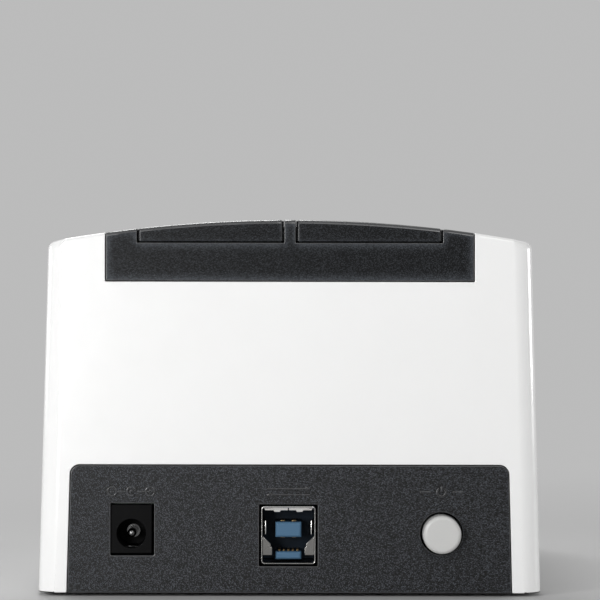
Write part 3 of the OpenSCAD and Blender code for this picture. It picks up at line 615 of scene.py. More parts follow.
class Bench:
    """Modelling habits that every piece shares."""

    @staticmethod
    def take(piece: Piece) -> None:
        """Makes a piece the only one selected.

        Args:
            piece: the mesh to take.
        """
        bpy.ops.object.select_all(action="DESELECT")
        piece.select_set(True)
        bpy.context.view_layer.objects.active = piece

    @staticmethod
    @contextmanager
    def editing(piece: Piece) -> Iterator[None]:
        """Opens a piece in edit mode.

        Args:
            piece: the mesh to edit.

        Returns:
            A context that goes back to object mode at its end.
        """
        Bench.take(piece)
        bpy.ops.object.mode_set(mode="EDIT")
        try:
            yield
        finally:
            bpy.ops.object.mode_set(mode="OBJECT")

    @staticmethod
    def pick_faces(piece: Piece, test: Callable[[bmesh.types.BMFace], bool]) -> None:
        """Selects just the faces that pass a test, in edit mode.

        Args:
            piece: the mesh being edited.
            test: says whether a face is wanted.
        """
        bpy.ops.mesh.select_mode(type="FACE")
        mesh = bmesh.from_edit_mesh(piece.data)
        for face in mesh.faces:
            face.select_set(False)
        for face in mesh.faces:
            if test(face):
                face.select_set(True)
        bmesh.update_edit_mesh(piece.data)

    @staticmethod
    def pick_edges(piece: Piece, test: Callable[[bmesh.types.BMEdge], bool]) -> None:
        """Selects just the edges that pass a test, in edit mode.

        Args:
            piece: the mesh being edited.
            test: says whether an edge is wanted.
        """
        bpy.ops.mesh.select_mode(type="EDGE")
        mesh = bmesh.from_edit_mesh(piece.data)
        for edge in mesh.edges:
            edge.select_set(False)
        for edge in mesh.edges:
            if test(edge):
                edge.select_set(True)
        bmesh.update_edit_mesh(piece.data)

    @staticmethod
    def finish_modifiers(piece: Piece) -> None:
        """Applies every modifier of a piece in order.

        Args:
            piece: the mesh to finish.
        """
        Bench.take(piece)
        for modifier in list(piece.modifiers):
            bpy.ops.object.modifier_apply(modifier=modifier.name)

    @staticmethod
    def settle(piece: Piece, matrix: Matrix) -> None:
        """Puts a piece in its place and moves that place into its mesh.

        Args:
            piece: the mesh, built about the origin.
            matrix: its place on the station.
        """
        piece.matrix_world = matrix
        Bench.take(piece)
        bpy.ops.object.transform_apply(location=True, rotation=True, scale=True)


@dataclass
class HoleCutter:
    """Cuts flat faces through their holes, so that no face has to run round one."""

    flat: float = math.radians(0.15)
    margin: float = 0.3
    near: float = 0.002 * MM
    tries: int = 20
    spans: dict[int, list[tuple[float, float]]] = field(default_factory=dict)

    def cut(self, piece: Piece) -> None:
        """Cuts a piece in edit mode and marks the cuts as seams.

        Args:
            piece: the merged mesh.
        """
        self.spans.clear()
        mesh = bmesh.from_edit_mesh(piece.data)
        for region in self.regions(mesh):
            self.note_holes(region)
        ticks = [sorted({vertex.co[axis] for vertex in mesh.verts}) for axis in range(3)]
        for axis, spans in self.spans.items():
            normal = Vector(1.0 if number == axis else 0.0 for number in range(3))
            for group in self.stabs(spans):
                place = self.clearest(group, ticks[axis])
                bpy.ops.mesh.select_all(action="SELECT")
                bpy.ops.mesh.bisect(plane_co=normal * place, plane_no=normal, threshold=self.near)
                bpy.ops.mesh.mark_seam()

    def regions(self, mesh: bmesh.types.BMesh) -> Iterator[list[bmesh.types.BMFace]]:
        """Groups of joined faces that lie in one plane.

        Args:
            mesh: the mesh to group.

        Returns:
            An iterator over the groups.
        """
        left = set(mesh.faces)
        for first in mesh.faces:
            if first not in left:
                continue
            left.remove(first)
            region = [first]
            for face in region:
                for edge in face.edges:
                    if len(edge.link_faces) != 2 or edge.calc_face_angle() > self.flat:
                        continue
                    fresh = [other for other in edge.link_faces if other in left]
                    left.difference_update(fresh)
                    region.extend(fresh)
            yield region

    def note_holes(self, region: list[bmesh.types.BMFace]) -> None:
        """Notes the stretch that each hole of a flat region takes up along one axis.

        Args:
            region: faces that lie in one plane.
        """
        inside = set(region)
        edges = [edge for face in region for edge in face.edges]
        rims = [edge for edge in edges if sum(face in inside for face in edge.link_faces) == 1]
        loops = sorted(self.loops(rims), key=self.reach)
        if len(loops) < 2:
            return
        normal = region[0].normal
        axes = sorted(range(3), key=lambda axis: abs(normal[axis]))[:2]
        choices = {axis: [self.span(loop, axis) for loop in loops[:-1]] for axis in axes}
        axis = min(axes, key=lambda axis: len(self.stabs(choices[axis])))
        self.spans.setdefault(axis, []).extend(choices[axis])

    @staticmethod
    def loops(rims: list[bmesh.types.BMEdge]) -> list[set[bmesh.types.BMVert]]:
        """Groups rim edges into the points of each closed rim.

        Args:
            rims: edges on the outer and inner rims of a region.

        Returns:
            The points of each rim.
        """
        loops: list[set[bmesh.types.BMVert]] = []
        for edge in rims:
            joined = set(edge.verts)
            apart = []
            for loop in loops:
                if loop & joined:
                    joined |= loop
                else:
                    apart.append(loop)
            loops = apart + [joined]
        return loops

    @staticmethod
    def reach(loop: set[bmesh.types.BMVert]) -> float:
        """Length of the diagonal of a rim's box, from its points."""
        sides = [max(v.co[axis] for v in loop) - min(v.co[axis] for v in loop) for axis in range(3)]
        return math.hypot(*sides)

    def span(self, loop: set[bmesh.types.BMVert], axis: int) -> tuple[float, float]:
        """The inner stretch of a rim along an axis, its two ends left out.

        Args:
            loop: the rim's points.
            axis: number of the axis.

        Returns:
            Its lowest and highest place.
        """
        low = min(v.co[axis] for v in loop)
        high = max(v.co[axis] for v in loop)
        inset = (high - low) * self.margin
        return low + inset, high - inset

    def clearest(self, group: tuple[float, float], ticks: list[float]) -> float:
        """The place in a stretch that lies farthest from all points of the mesh.

        Args:
            group: lowest and highest place.
            ticks: sorted places of the points along the same axis.

        Returns:
            The clearest of evenly spaced places, the middle one first.
        """
        low, high = group
        steps = (step / self.tries for step in range(self.tries + 1))
        shares = sorted(steps, key=lambda share: abs(share - 0.5))

        def clearance(place: float) -> float:
            """Distance from a place to the nearest point."""
            after = bisect_left(ticks, place)
            return min(abs(place - tick) for tick in ticks[max(0, after - 1) : after + 1])

        return max((low + (high - low) * share for share in shares), key=clearance)

    @staticmethod
    def stabs(spans: list[tuple[float, float]]) -> list[tuple[float, float]]:
        """The fewest stretches such that each hole's own stretch holds one of them.

        Args:
            spans: the holes' stretches along one axis.

        Returns:
            The stretches, lowest first.
        """
        groups: list[tuple[float, float]] = []
        for low, high in sorted(spans):
            if groups and low <= groups[-1][1]:
                groups[-1] = (low, min(high, groups[-1][1]))
            else:
                groups.append((low, high))
        return groups


@dataclass(frozen=True)
class EdgeBreak:
    """The small rounding that a mould or a press leaves on an edge."""

    width: float = 0.2 * MM
    segments: int = 3
    angle: float = math.radians(28)
    crowd: float = 2.1
    seam_share: float = 2.0
    stops: tuple[float, ...] = (0.1, 0.5, 0.9)
    touch: float = 0.001 * MM
    level_weight: int = 100

    def weigh(self, piece: Piece) -> None:
        """Marks the sharp edges, more lightly where two full roundings would not fit on a face.

        Args:
            piece: the mesh to mark.
        """
        mesh = bmesh.new()
        mesh.from_mesh(piece.data)
        weight = mesh.edges.layers.float.new("bevel_weight_edge")
        sharp = {edge for edge in mesh.edges if edge.is_manifold and edge.calc_face_angle() > self.angle}
        for edge in sharp:
            rooms = (self.room(edge, loop.face, sharp) for loop in edge.link_loops)
            edge[weight] = min(1.0, min(rooms) / (self.crowd * self.width))
        mesh.to_mesh(piece.data)
        mesh.free()

    def room(
        self, edge: bmesh.types.BMEdge, face: bmesh.types.BMFace, sharp: set[bmesh.types.BMEdge]
    ) -> float:
        """Distance across a face from one of its edges to the next sharp edge.

        Args:
            edge: the edge to measure from.
            face: the face to measure over.
            sharp: edges that are to be rounded.

        Returns:
            The shortest of the distances at the stops, where one to a seam counts for more.
        """
        start, end = (vert.co for vert in edge.verts)
        along = (end - start).normalized()
        across = face.normal.cross(along)
        stops = [(end - start).length * share for share in self.stops]
        near = math.inf
        for other in face.edges:
            if not (other in sharp or other.seam) or set(other.verts) & set(edge.verts):
                continue
            share = 1.0 if other in sharp else self.seam_share
            ends = [(along.dot(vert.co - start), across.dot(vert.co - start)) for vert in other.verts]
            (at, out), (to, away) = sorted(ends)
            for stop in stops:
                if at < stop < to:
                    hit = abs(out + (away - out) * (stop - at) / (to - at))
                    near = min(near, hit * share) if hit > self.touch else near
        return near

    def finish(self, piece: Piece) -> None:
        """Rounds a piece's sharp edges and keeps its flat faces level.

        Args:
            piece: the mesh to round.
        """
        Bench.take(piece)
        bpy.ops.object.shade_smooth()
        self.weigh(piece)
        bevel = piece.modifiers.new("edge_break", "BEVEL")
        bevel.width = self.width
        bevel.segments = self.segments
        # Bevel faces take the piece's last material: where the finish has one, the lighter edge colour,
        # partly rubbed wear and partly a painted highlight.
        bevel.material = len(piece.data.materials) - 1
        bevel.limit_method = "WEIGHT"
        bevel.use_clamp_overlap = False
        bevel.loop_slide = False
        bevel.miter_outer = "MITER_ARC"
        level = piece.modifiers.new("level_faces", "WEIGHTED_NORMAL")
        level.mode = "FACE_AREA"
        level.weight = self.level_weight
        Bench.finish_modifiers(piece)


@dataclass(frozen=True)
class Dressing:
    """A CAD node that is replaced by a copy with broken edges."""

    node: str
    name: str
    finish: Finish
    edge: EdgeBreak
    body: Body = Body.DOCK


@dataclass
class Assembly:
    """Pieces that share a place on the station."""

    merge_gap: float = 0.002 * MM
    holes: HoleCutter = field(default_factory=HoleCutter)

    def build(self) -> None:
        """Builds and dresses the pieces."""
        raise NotImplementedError

    def hand_over(self, piece: Piece, finish: Finish, body: Body, *nodes: str) -> Piece:
        """Gives a finished piece its material and body, and hides the CAD nodes it stands for.

        Args:
            piece: the finished mesh.
            finish: its surface.
            body: the body it rides on.
            nodes: CAD nodes that it stands for.

        Returns:
            The same piece.
        """
        if not piece.data.materials:
            finish.lay_on(piece)
        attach(piece, body.value)
        if nodes:
            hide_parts(*nodes)
        LOG.info("%s: %d faces on %s", piece.name, len(piece.data.polygons), body.value)
        return piece

    def merged_copy(self, node: str, name: str, finish: Finish) -> Piece:
        """Copies a CAD node and merges its loose triangles.

        Args:
            node: the CAD node.
            name: name of the new piece.
            finish: its surface.

        Returns:
            The copy, on no body yet.
        """
        piece = bpy.data.objects.new(name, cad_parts[node].data.copy())
        bpy.context.collection.objects.link(piece)
        finish.lay_on(piece)
        with Bench.editing(piece):
            bpy.ops.mesh.customdata_custom_splitnormals_clear()
            bpy.ops.mesh.select_all(action="SELECT")
            bpy.ops.mesh.remove_doubles(threshold=self.merge_gap)
            self.holes.cut(piece)
            bpy.ops.mesh.select_all(action="SELECT")
            bpy.ops.mesh.dissolve_limited(angle_limit=self.holes.flat, delimit={"SEAM"})
        return piece

    def dress(self, dressing: Dressing) -> Piece:
        """Replaces a CAD node by a copy with broken edges.

        Args:
            dressing: the node, and how its copy is named, finished and carried.

        Returns:
            The finished piece.
        """
        piece = self.merged_copy(dressing.node, dressing.name, dressing.finish)
        dressing.edge.finish(piece)
        return self.hand_over(piece, dressing.finish, dressing.body, dressing.node)


@dataclass
class Shell(Assembly):
    """White housing, base plate and feet."""

    housing: Dressing = Dressing("upper_housing", "housing_shell", WHITE_GLOSS, EdgeBreak(0.22 * MM))
    base: Dressing = Dressing("base_plate", "base_tray", BLACK_BASE, EdgeBreak(0.15 * MM))
    foot_r: float = 4.4 * MM
    foot_sides: int = 72
    foot_edge: float = 0.22 * MM
    foot_steps: int = 4
    cup_r: float = 2.6 * MM
    cup_depth: float = 0.25 * MM
    down: float = -0.9
    near: float = 0.01 * MM
    smooth_angle: float = math.radians(40)

    def build(self) -> None:
        """Builds the housing, the base and the four feet."""
        self.dress(self.housing)
        self.dress(self.base)
        low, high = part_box("rubber_feet")
        spots = [
            (x, y)
            for x in (low.x + self.foot_r, high.x - self.foot_r)
            for y in (low.y + self.foot_r, high.y - self.foot_r)
        ]
        foot = self.foot(high.z)
        for number, (x, y) in enumerate(spots, 1):
            copy = foot.copy()
            copy.data = foot.data.copy()
            copy.name = f"foot_{number}"
            bpy.context.collection.objects.link(copy)
            Bench.settle(copy, Matrix.Translation((x, y, 0)))
            nodes = ("rubber_feet",) if number == 1 else ()
            self.hand_over(copy, FOOT_RUBBER, Body.DOCK, *nodes)
        bpy.data.objects.remove(foot)

    def foot(self, height: float) -> Piece:
        """Models one foot about the origin, standing on the floor.

        Args:
            height: its height in metres.

        Returns:
            The foot, as a pattern to copy.
        """
        bpy.ops.object.select_all(action="DESELECT")
        bpy.ops.mesh.primitive_cylinder_add(
            vertices=self.foot_sides, radius=self.foot_r, depth=height, location=(0, 0, height / 2)
        )
        foot = bpy.context.object
        foot.name = "foot_pattern"
        Bench.settle(foot, foot.matrix_world.copy())
        with Bench.editing(foot):
            Bench.pick_faces(foot, lambda face: face.normal.z < self.down)
            bpy.ops.mesh.inset(thickness=self.foot_r - self.cup_r)
            bpy.ops.mesh.extrude_region_move(TRANSFORM_OT_translate={"value": (0, 0, self.cup_depth)})
            Bench.pick_edges(foot, self.is_rim)
            bpy.ops.mesh.bevel(offset=self.foot_edge / 2, segments=self.foot_steps, affect="EDGES")
        Bench.take(foot)
        bpy.ops.object.shade_smooth_by_angle(angle=self.smooth_angle)
        return foot

    def is_rim(self, edge: bmesh.types.BMEdge) -> bool:
        """Tells the foot's edges near the floor and round its cup from the others.

        Args:
            edge: an edge of the foot.

        Returns:
            True for a level edge that lies no higher than the cup's bottom.
        """
        start, end = (vert.co.z for vert in edge.verts)
        return max(start, end) < self.cup_depth + self.near and abs(start - end) < self.near


@dataclass
class Deck(Assembly):
    """Top bezel, the two wells with their flaps, pins and springs."""

    flap_edge: EdgeBreak = EdgeBreak(0.3 * MM)
    pin_edge: EdgeBreak = EdgeBreak(0.12 * MM)
    moulded_edge: EdgeBreak = EdgeBreak(0.18 * MM)
    wire_r: float = 0.25 * MM
    wire_levels: int = 2
    arch_r: float = 295 * MM
    lip_z: float = 78.03 * MM
    lip_depth: float = 3.9 * MM
    end_depth: float = 2.5 * MM
    lip_w: float = 31.3 * MM
    rim_r: float = 0.8 * MM
    rim_steps: int = 6
    rim_tilt: float = 0.06
    stop_in: float = 1.6 * MM
    stop_gap: float = 0.25 * MM
    stop_out: float = 0.45 * MM
    stop_drop: float = 0.15 * MM
    arch_steps: int = 24
    facet_w: float = 1.3 * MM
    facet_drop: float = 0.25 * MM
    near: float = 0.02 * MM
    cut_lift: float = 0.01 * MM
    cut_near: float = 0.001 * MM

    def build(self) -> None:
        """Builds the bezel and both bays."""
        self.bezel()
        for side in Side:
            word = side.word
            self.well(side)
            self.dress(Dressing(f"{word}_flap", f"{word}_dust_flap", BLACK_SATIN, self.flap_edge, side.flap))
            self.dress(Dressing(f"{word}_flap_pin", f"{word}_hinge_pin", SPRING_WIRE, self.pin_edge))
            self.spring(side)

    def bezel(self) -> None:
        """Gives the bezel's round rear rim, on its faces that look up and back, the lighter edge colour,
        partly a painted highlight and partly rubbed wear, and bevels the sides of its rear face.
        """
        piece = self.merged_copy("top_bezel", "bezel_saddle", BEZEL_SATIN)
        low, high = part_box("top_bezel")
        with Bench.editing(piece):
            for x, way in ((low.x + self.facet_w, -1), (high.x - self.facet_w, 1)):
                bpy.ops.mesh.select_all(action="SELECT")
                bpy.ops.mesh.bisect(plane_co=(x, 0, 0), plane_no=(way, 0, 0))
            mesh = bmesh.from_edit_mesh(piece.data)
            # Painted highlight: faces of the rim that look up and back take the lighter edge colour.
            for face in mesh.faces:
                if min(face.normal.y, face.normal.z) > self.rim_tilt:
                    face.material_index = 1
            for vertex in mesh.verts:
                aside = min(vertex.co.x - low.x, high.x - vertex.co.x) < self.near
                if aside and vertex.co.y > high.y - self.near:
                    vertex.co.y -= self.facet_drop
            bmesh.update_edit_mesh(piece.data)
        self.moulded_edge.finish(piece)
        self.hand_over(piece, BEZEL_SATIN, Body.DOCK, "top_bezel")

    def arch(self, x: float) -> float:
        """Height of the arched top at a place across the station."""
        return CAD_BOX[1].z - self.arch_r + math.sqrt(self.arch_r**2 - x**2)

    def arch_block(
        self,
        name: str,
        across: tuple[float, float],
        along: tuple[float, float],
        rim: float = 0.0,
        drop: float = 0.0,
    ) -> Piece:
        """Models a block whose top follows the arch.

        Args:
            name: its name.
            across: lowest and highest X.
            along: lowest and highest Y.
            rim: radius of its rear upper edge, or 0.
            drop: how far its top lies below the arch.

        Returns:
            The block.
        """
        bpy.ops.object.select_all(action="DESELECT")
        corner = Vector((across[0], along[0], self.lip_z))
        size = Vector((across[1] - across[0], along[1] - along[0], CAD_BOX[1].z - self.lip_z))
        bpy.ops.mesh.primitive_cube_add(size=1.0, location=corner + size / 2, scale=size)
        block = bpy.context.object
        block.name = name
        BLACK_SATIN.lay_on(block)
        Bench.settle(block, block.matrix_world.copy())
        middle = self.lip_z + size.z / 2
        with Bench.editing(block):
            for step in range(1, self.arch_steps):
                bpy.ops.mesh.select_all(action="SELECT")
                x = across[0] + size.x * step / self.arch_steps
                bpy.ops.mesh.bisect(plane_co=(x, 0, 0), plane_no=(1, 0, 0))
            mesh = bmesh.from_edit_mesh(block.data)
            for vertex in mesh.verts:
                if vertex.co.z > middle:
                    vertex.co.z = self.arch(vertex.co.x) - drop
            bmesh.update_edit_mesh(block.data)
            if rim:
                rear = along[1] - rim / 2
                Bench.pick_edges(
                    block, lambda edge: all(v.co.z > middle and v.co.y > rear for v in edge.verts)
                )
                # The rim's bevel takes the lighter edge colour, a painted highlight with rubbed wear.
                bpy.ops.mesh.bevel(
                    offset=rim, segments=self.rim_steps, affect="EDGES", loop_slide=False, material=1
                )
        return block

    def well(self, side: Side) -> None:
        """Builds a well: its tub from the solid, its rear lip and front end anew.

        Args:
            side: which bay.
        """
        node = f"{side.word}_drive_well"
        tub = self.merged_copy(node, f"{side.word}_well_tub", BLACK_SATIN)
        with Bench.editing(tub):
            bpy.ops.mesh.select_all(action="SELECT")
            bpy.ops.mesh.bisect(
                plane_co=(0, 0, self.lip_z + self.cut_lift),
                plane_no=(0, 0, 1),
                use_fill=True,
                clear_outer=True,
                threshold=self.cut_near,
            )
        low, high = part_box(node)
        outer = max(abs(corner.x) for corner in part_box(f"{side.word}_flap"))
        across = tuple(sorted((side.value * outer, side.value * (outer - self.lip_w))))
        lip = self.arch_block("lip", across, (high.y - self.lip_depth, high.y), self.rim_r)
        end = self.arch_block("end", across, (low.y, low.y + self.end_depth))
        wide = (across[0] - self.stop_out, across[1] + self.stop_out)
        inner = (high.y - self.lip_depth + self.stop_gap, high.y - self.stop_in)
        stop = self.arch_block("stop", wide, inner, drop=self.stop_drop)
        Bench.take(tub)
        for block in (lip, end, stop):
            block.select_set(True)
        bpy.ops.object.join()
        self.moulded_edge.finish(tub)
        # Faces that look down go back to plain black, so the painted highlight of the lighter edge colour
        # stays on edges that face up.
        for face in tub.data.polygons:
            if face.normal.z < -self.rim_tilt:
                face.material_index = 0
        self.hand_over(tub, BLACK_SATIN, Body.DOCK, node)

    def spring(self, side: Side) -> None:
        """Rounds the wire of a return spring.

        Args:
            side: which bay.
        """
        node = f"{side.word}_flap_spring"
        piece = self.merged_copy(node, f"{side.word}_return_spring", SPRING_WIRE)
        rounder = piece.modifiers.new("round_wire", "SUBSURF")
        rounder.levels = rounder.render_levels = self.wire_levels
        Bench.finish_modifiers(piece)
        bpy.ops.object.shade_smooth()
        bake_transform(piece)
        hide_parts(node)
        LOG.info("%s: %d faces between two bodies", piece.name, len(piece.data.polygons))


class Sign(Enum):
    """Plain signs raised on the rear panel."""

    POLARITY = "polarity_sign"
    TRANSFER = "transfer_sign"
    STANDBY = "standby_sign"


@dataclass
class SignCutter:
    """Draws signs as raised strokes, flat on the XY plane."""

    stroke: float = 0.5 * MM
    rise: float = 0.3 * MM
    root: float = 0.06 * MM
    height: float = 2.4 * MM
    edge: EdgeBreak = EdgeBreak(0.15 * MM, 2, math.radians(50))
    arrow_l: float = 9.6 * MM
    arrow_head: float = 0.72 * MM
    arrow_out: float = 0.66 * MM
    key_gap: tuple[float, float] = (58.0, 122.0)
    key_bar: float = 1.32 * MM
    dash_l: float = 2.4 * MM
    pole_step: float = 4.2 * MM
    pole_mark: float = 1.08 * MM
    pole_gap: tuple[float, float] = (318.0, 360.0)
    pole_dot: float = 0.432 * MM
    ring_sides: int = 60
    dot_sides: int = 32

    def bar(self, x: float, y: float, width: float, height: float) -> None:
        """Adds a straight stroke.

        Args:
            x: middle in X.
            y: middle in Y.
            width: length along X.
            height: length along Y.
        """
        bpy.ops.mesh.primitive_plane_add(size=1.0, location=(x, y, 0))
        bpy.ops.transform.resize(value=(width, height, 1.0), center_override=(x, y, 0))

    def ring(self, piece: Piece, x: float, radius: float, gap: tuple[float, float] | None = None) -> None:
        """Adds a ring, open over a stretch of angles if one is given.

        Args:
            piece: the sign being drawn.
            x: middle in X.
            radius: outer radius.
            gap: first and last angle of the opening in degrees, or None.
        """
        bpy.ops.mesh.primitive_circle_add(
            vertices=self.ring_sides, radius=radius, fill_type="NGON", location=(x, 0, 0)
        )
        bpy.ops.mesh.inset(thickness=self.stroke)
        bpy.ops.mesh.delete(type="FACE")
        if gap is None:
            return

        def in_gap(face: bmesh.types.BMFace) -> bool:
            """Tells the ring's faces inside the opening from the others.

            Args:
                face: a face of the sign.

            Returns:
                True for a face to open.
            """
            middle = face.calc_center_median()
            away = Vector((middle.x - x, middle.y))
            angle = math.degrees(math.atan2(away.y, away.x)) % 360
            return away.length < radius and gap[0] < angle < gap[1]

        Bench.pick_faces(piece, in_gap)
        bpy.ops.mesh.delete(type="FACE")

    def dot(self, x: float, radius: float) -> None:
        """Adds a round dot on the middle line.

        Args:
            x: middle in X.
            radius: its radius.
        """
        bpy.ops.mesh.primitive_circle_add(
            vertices=self.dot_sides, radius=radius, fill_type="NGON", location=(x, 0, 0)
        )

    def arrow(self, y: float, length: float, way: int) -> None:
        """Adds an arrow along X.

        Args:
            y: middle in Y.
            length: whole length.
            way: 1 to point along +X, -1 along -X.
        """
        head = self.arrow_head
        self.bar(-way * head / 2, y, length - head, self.stroke)
        bpy.ops.mesh.primitive_circle_add(
            vertices=3,
            radius=head,
            fill_type="NGON",
            location=(way * (length / 2 - head), y, 0),
            rotation=(0, 0, -way * math.pi / 2),
        )

    def draw(self, sign: Sign) -> Piece:
        """Draws a sign and raises it.

        Args:
            sign: which sign.

        Returns:
            The sign as a closed mesh about the origin, its face towards +Z.
        """
        piece = bpy.data.objects.new(sign.value, bpy.data.meshes.new(sign.value))
        bpy.context.collection.objects.link(piece)
        radius = self.height / 2
        with Bench.editing(piece):
            if sign is Sign.POLARITY:
                self.polarity(piece, radius)
            elif sign is Sign.TRANSFER:
                for way in (1, -1):
                    self.arrow(way * self.arrow_out, self.arrow_l, way)
            else:
                self.ring(piece, 0.0, radius, self.key_gap)
                self.bar(0.0, self.key_bar / 2, self.stroke, self.key_bar)
                for way in (-1, 1):
                    self.bar(way * (radius + self.dash_l), 0.0, self.dash_l, self.stroke)
            bpy.ops.mesh.select_all(action="SELECT")
            bpy.ops.mesh.extrude_region_move(TRANSFORM_OT_translate={"value": (0, 0, self.rise + self.root)})
            bpy.ops.mesh.select_all(action="SELECT")
            bpy.ops.mesh.normals_make_consistent(inside=False)
        BLACK_GRAIN.lay_on(piece)
        self.edge.finish(piece)
        return piece

    def polarity(self, piece: Piece, radius: float) -> None:
        """Draws minus, a socket with its centre, and plus, joined by lines.

        Args:
            piece: the sign being drawn.
            radius: radius of its rings.
        """
        step = self.pole_step
        for x in (-step, step):
            self.ring(piece, x, radius)
            self.bar(x, 0.0, self.pole_mark, self.stroke)
        self.bar(step, 0.0, self.stroke, self.pole_mark)
        self.ring(piece, 0.0, radius, self.pole_gap)
        self.dot(0.0, self.pole_dot)
        link = step - 2 * radius
        for x in (-step / 2, step / 2):
            self.bar(x, 0.0, link, self.stroke)


@dataclass
class RearPanel(Assembly):
    """Grained panel with a raised sign over each port."""

    panel: Dressing = Dressing("rear_panel", "panel_plate", BLACK_GRAIN, EdgeBreak(0.16 * MM))
    sign_z: float = 23.0 * MM
    cutter: SignCutter = field(default_factory=SignCutter)

    def build(self) -> None:
        """Builds the panel and its signs."""
        self.dress(self.panel)
        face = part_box("rear_panel")[1].y
        ports = {
            Sign.POLARITY: "dc_jack_body",
            Sign.TRANSFER: "usb_shell",
            Sign.STANDBY: "power_button",
        }
        upright = Matrix(((-1, 0, 0, 0), (0, 0, 1, 0), (0, 1, 0, 0), (0, 0, 0, 1)))
        for sign, port in ports.items():
            low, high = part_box(port)
            piece = self.cutter.draw(sign)
            spot = Matrix.Translation(((low.x + high.x) / 2, face - self.cutter.root, self.sign_z))
            Bench.settle(piece, spot @ upright)
            self.hand_over(piece, BLACK_GRAIN, Body.DOCK)


@dataclass
class Ports(Assembly):
    """USB socket and power inlet."""

    shell: Dressing = Dressing("usb_shell", "usb_sheet_shell", NICKEL, EdgeBreak(0.165 * MM))
    fillings: tuple[Dressing, ...] = (
        Dressing("usb_insulator", "usb_tongue", BLUE, EdgeBreak(0.12 * MM)),
        Dressing("usb_contacts", "usb_blades", BLADE_GOLD_PAINTED_SHADE, EdgeBreak(0.06 * MM, 2)),
        Dressing("dc_jack_body", "inlet_body", BLACK_MOULDING, EdgeBreak(0.12 * MM)),
        Dressing("dc_jack_pin", "inlet_pin", PIN_NICKEL_PAINTED_SHADE, EdgeBreak(0.05 * MM)),
        Dressing("dc_jack_leaf", "inlet_leaf", LEAF_NICKEL_PAINTED_SHADE, EdgeBreak(0.06 * MM, 2)),
    )
    highlight_tilt: float = 0.25
    highlight_drop: float = 6.6 * MM
    rim_w: float = 0.5 * MM

    def build(self) -> None:
        """Builds both sockets with their contacts."""
        self.paint_highlight(self.dress(self.shell))
        for filling in self.fillings:
            self.dress(filling)

    def paint_highlight(self, shell: Piece) -> None:
        """Paints a highlight on the folded lip along the shell's top and the two springs below it, with a
        much lighter copy of the nickel.

        Args:
            shell: the dressed USB shell.
        """
        shell.data.materials.append(NICKEL_PAINTED_HIGHLIGHT.material())
        low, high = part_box(self.shell.node)
        # Painted highlight: upper faces inside the side walls that face the rear.
        for face in shell.data.polygons:
            inside = low.x + self.rim_w < face.center.x < high.x - self.rim_w
            above = face.center.z > high.z - self.highlight_drop
            if inside and above and face.normal.y > self.highlight_tilt:
                face.material_index = 1


@dataclass
class PowerKey(Assembly):
    """Button cap, plunger and switch."""

    parts: tuple[Dressing, ...] = (
        Dressing("power_button", "button_cap", GREY_BUTTON, EdgeBreak(0.06 * MM, 2), Body.BUTTON),
        Dressing("switch_plunger", "plunger_stem", NATURAL, EdgeBreak(0.15 * MM), Body.BUTTON),
        Dressing("power_switch", "switch_case", BLACK_MOULDING, EdgeBreak(0.15 * MM)),
    )

    def build(self) -> None:
        """Builds the button and what it pushes."""
        for part in self.parts:
            self.dress(part)


@dataclass
class BoardStack(Assembly):
    """Circuit board with its sockets, parts and screws."""

    parts: tuple[Dressing, ...] = (
        Dressing("main_board", "circuit_board", BOARD, EdgeBreak(0.08 * MM, 2)),
        Dressing("left_sata_socket", "left_drive_socket", BLACK_MOULDING, EdgeBreak(0.1 * MM)),
        Dressing("right_sata_socket", "right_drive_socket", BLACK_MOULDING, EdgeBreak(0.1 * MM)),
        Dressing("sata_contacts", "drive_contacts", GOLD, EdgeBreak(0.06 * MM, 2)),
        Dressing("bridge_chip", "bridge_package", BLACK_MOULDING, EdgeBreak(0.1 * MM, 2)),
        Dressing("filter_capacitors", "capacitor_cans", CAN, EdgeBreak(0.1 * MM, 2)),
        Dressing("power_inductors", "coil_drums", BLACK_MOULDING, EdgeBreak(0.12 * MM, 2)),
        Dressing("clock_crystal", "crystal_can", NICKEL, EdgeBreak(0.2 * MM)),
        Dressing("status_leds", "indicator_leds", NATURAL, EdgeBreak(0.08 * MM, 2)),
        Dressing("light_pipe", "lens_bar", CLEAR, EdgeBreak(0.06 * MM, 2)),
        Dressing("base_screws", "base_screws_plated", NICKEL, EdgeBreak(0.12 * MM, 2)),
        Dressing("board_screws", "board_screws_plated", NICKEL, EdgeBreak(0.12 * MM, 2)),
        Dressing("well_screws", "well_screws_plated", NICKEL, EdgeBreak(0.12 * MM, 2)),
    )

    def build(self) -> None:
        """Dresses the board and all that sits on it."""
        for part in self.parts:
            self.dress(part)


@dataclass(frozen=True)
class Lamp:
    """A square softbox that points at the middle of the rear face."""

    name: str
    way: tuple[float, float, float]
    distance: float
    size: float
    power: float

    def hang(self, aim: Vector) -> None:
        """Hangs the lamp.

        Args:
            aim: what it points at.
        """
        data = bpy.data.lights.new(self.name, "AREA")
        data.size = self.size
        data.energy = self.power
        lamp = bpy.data.objects.new(self.name, data)
        bpy.context.collection.objects.link(lamp)
        way = Vector(self.way).normalized()
        lamp.location = aim + way * self.distance
        lamp.rotation_euler = way.to_track_quat("Z", "Y").to_euler()


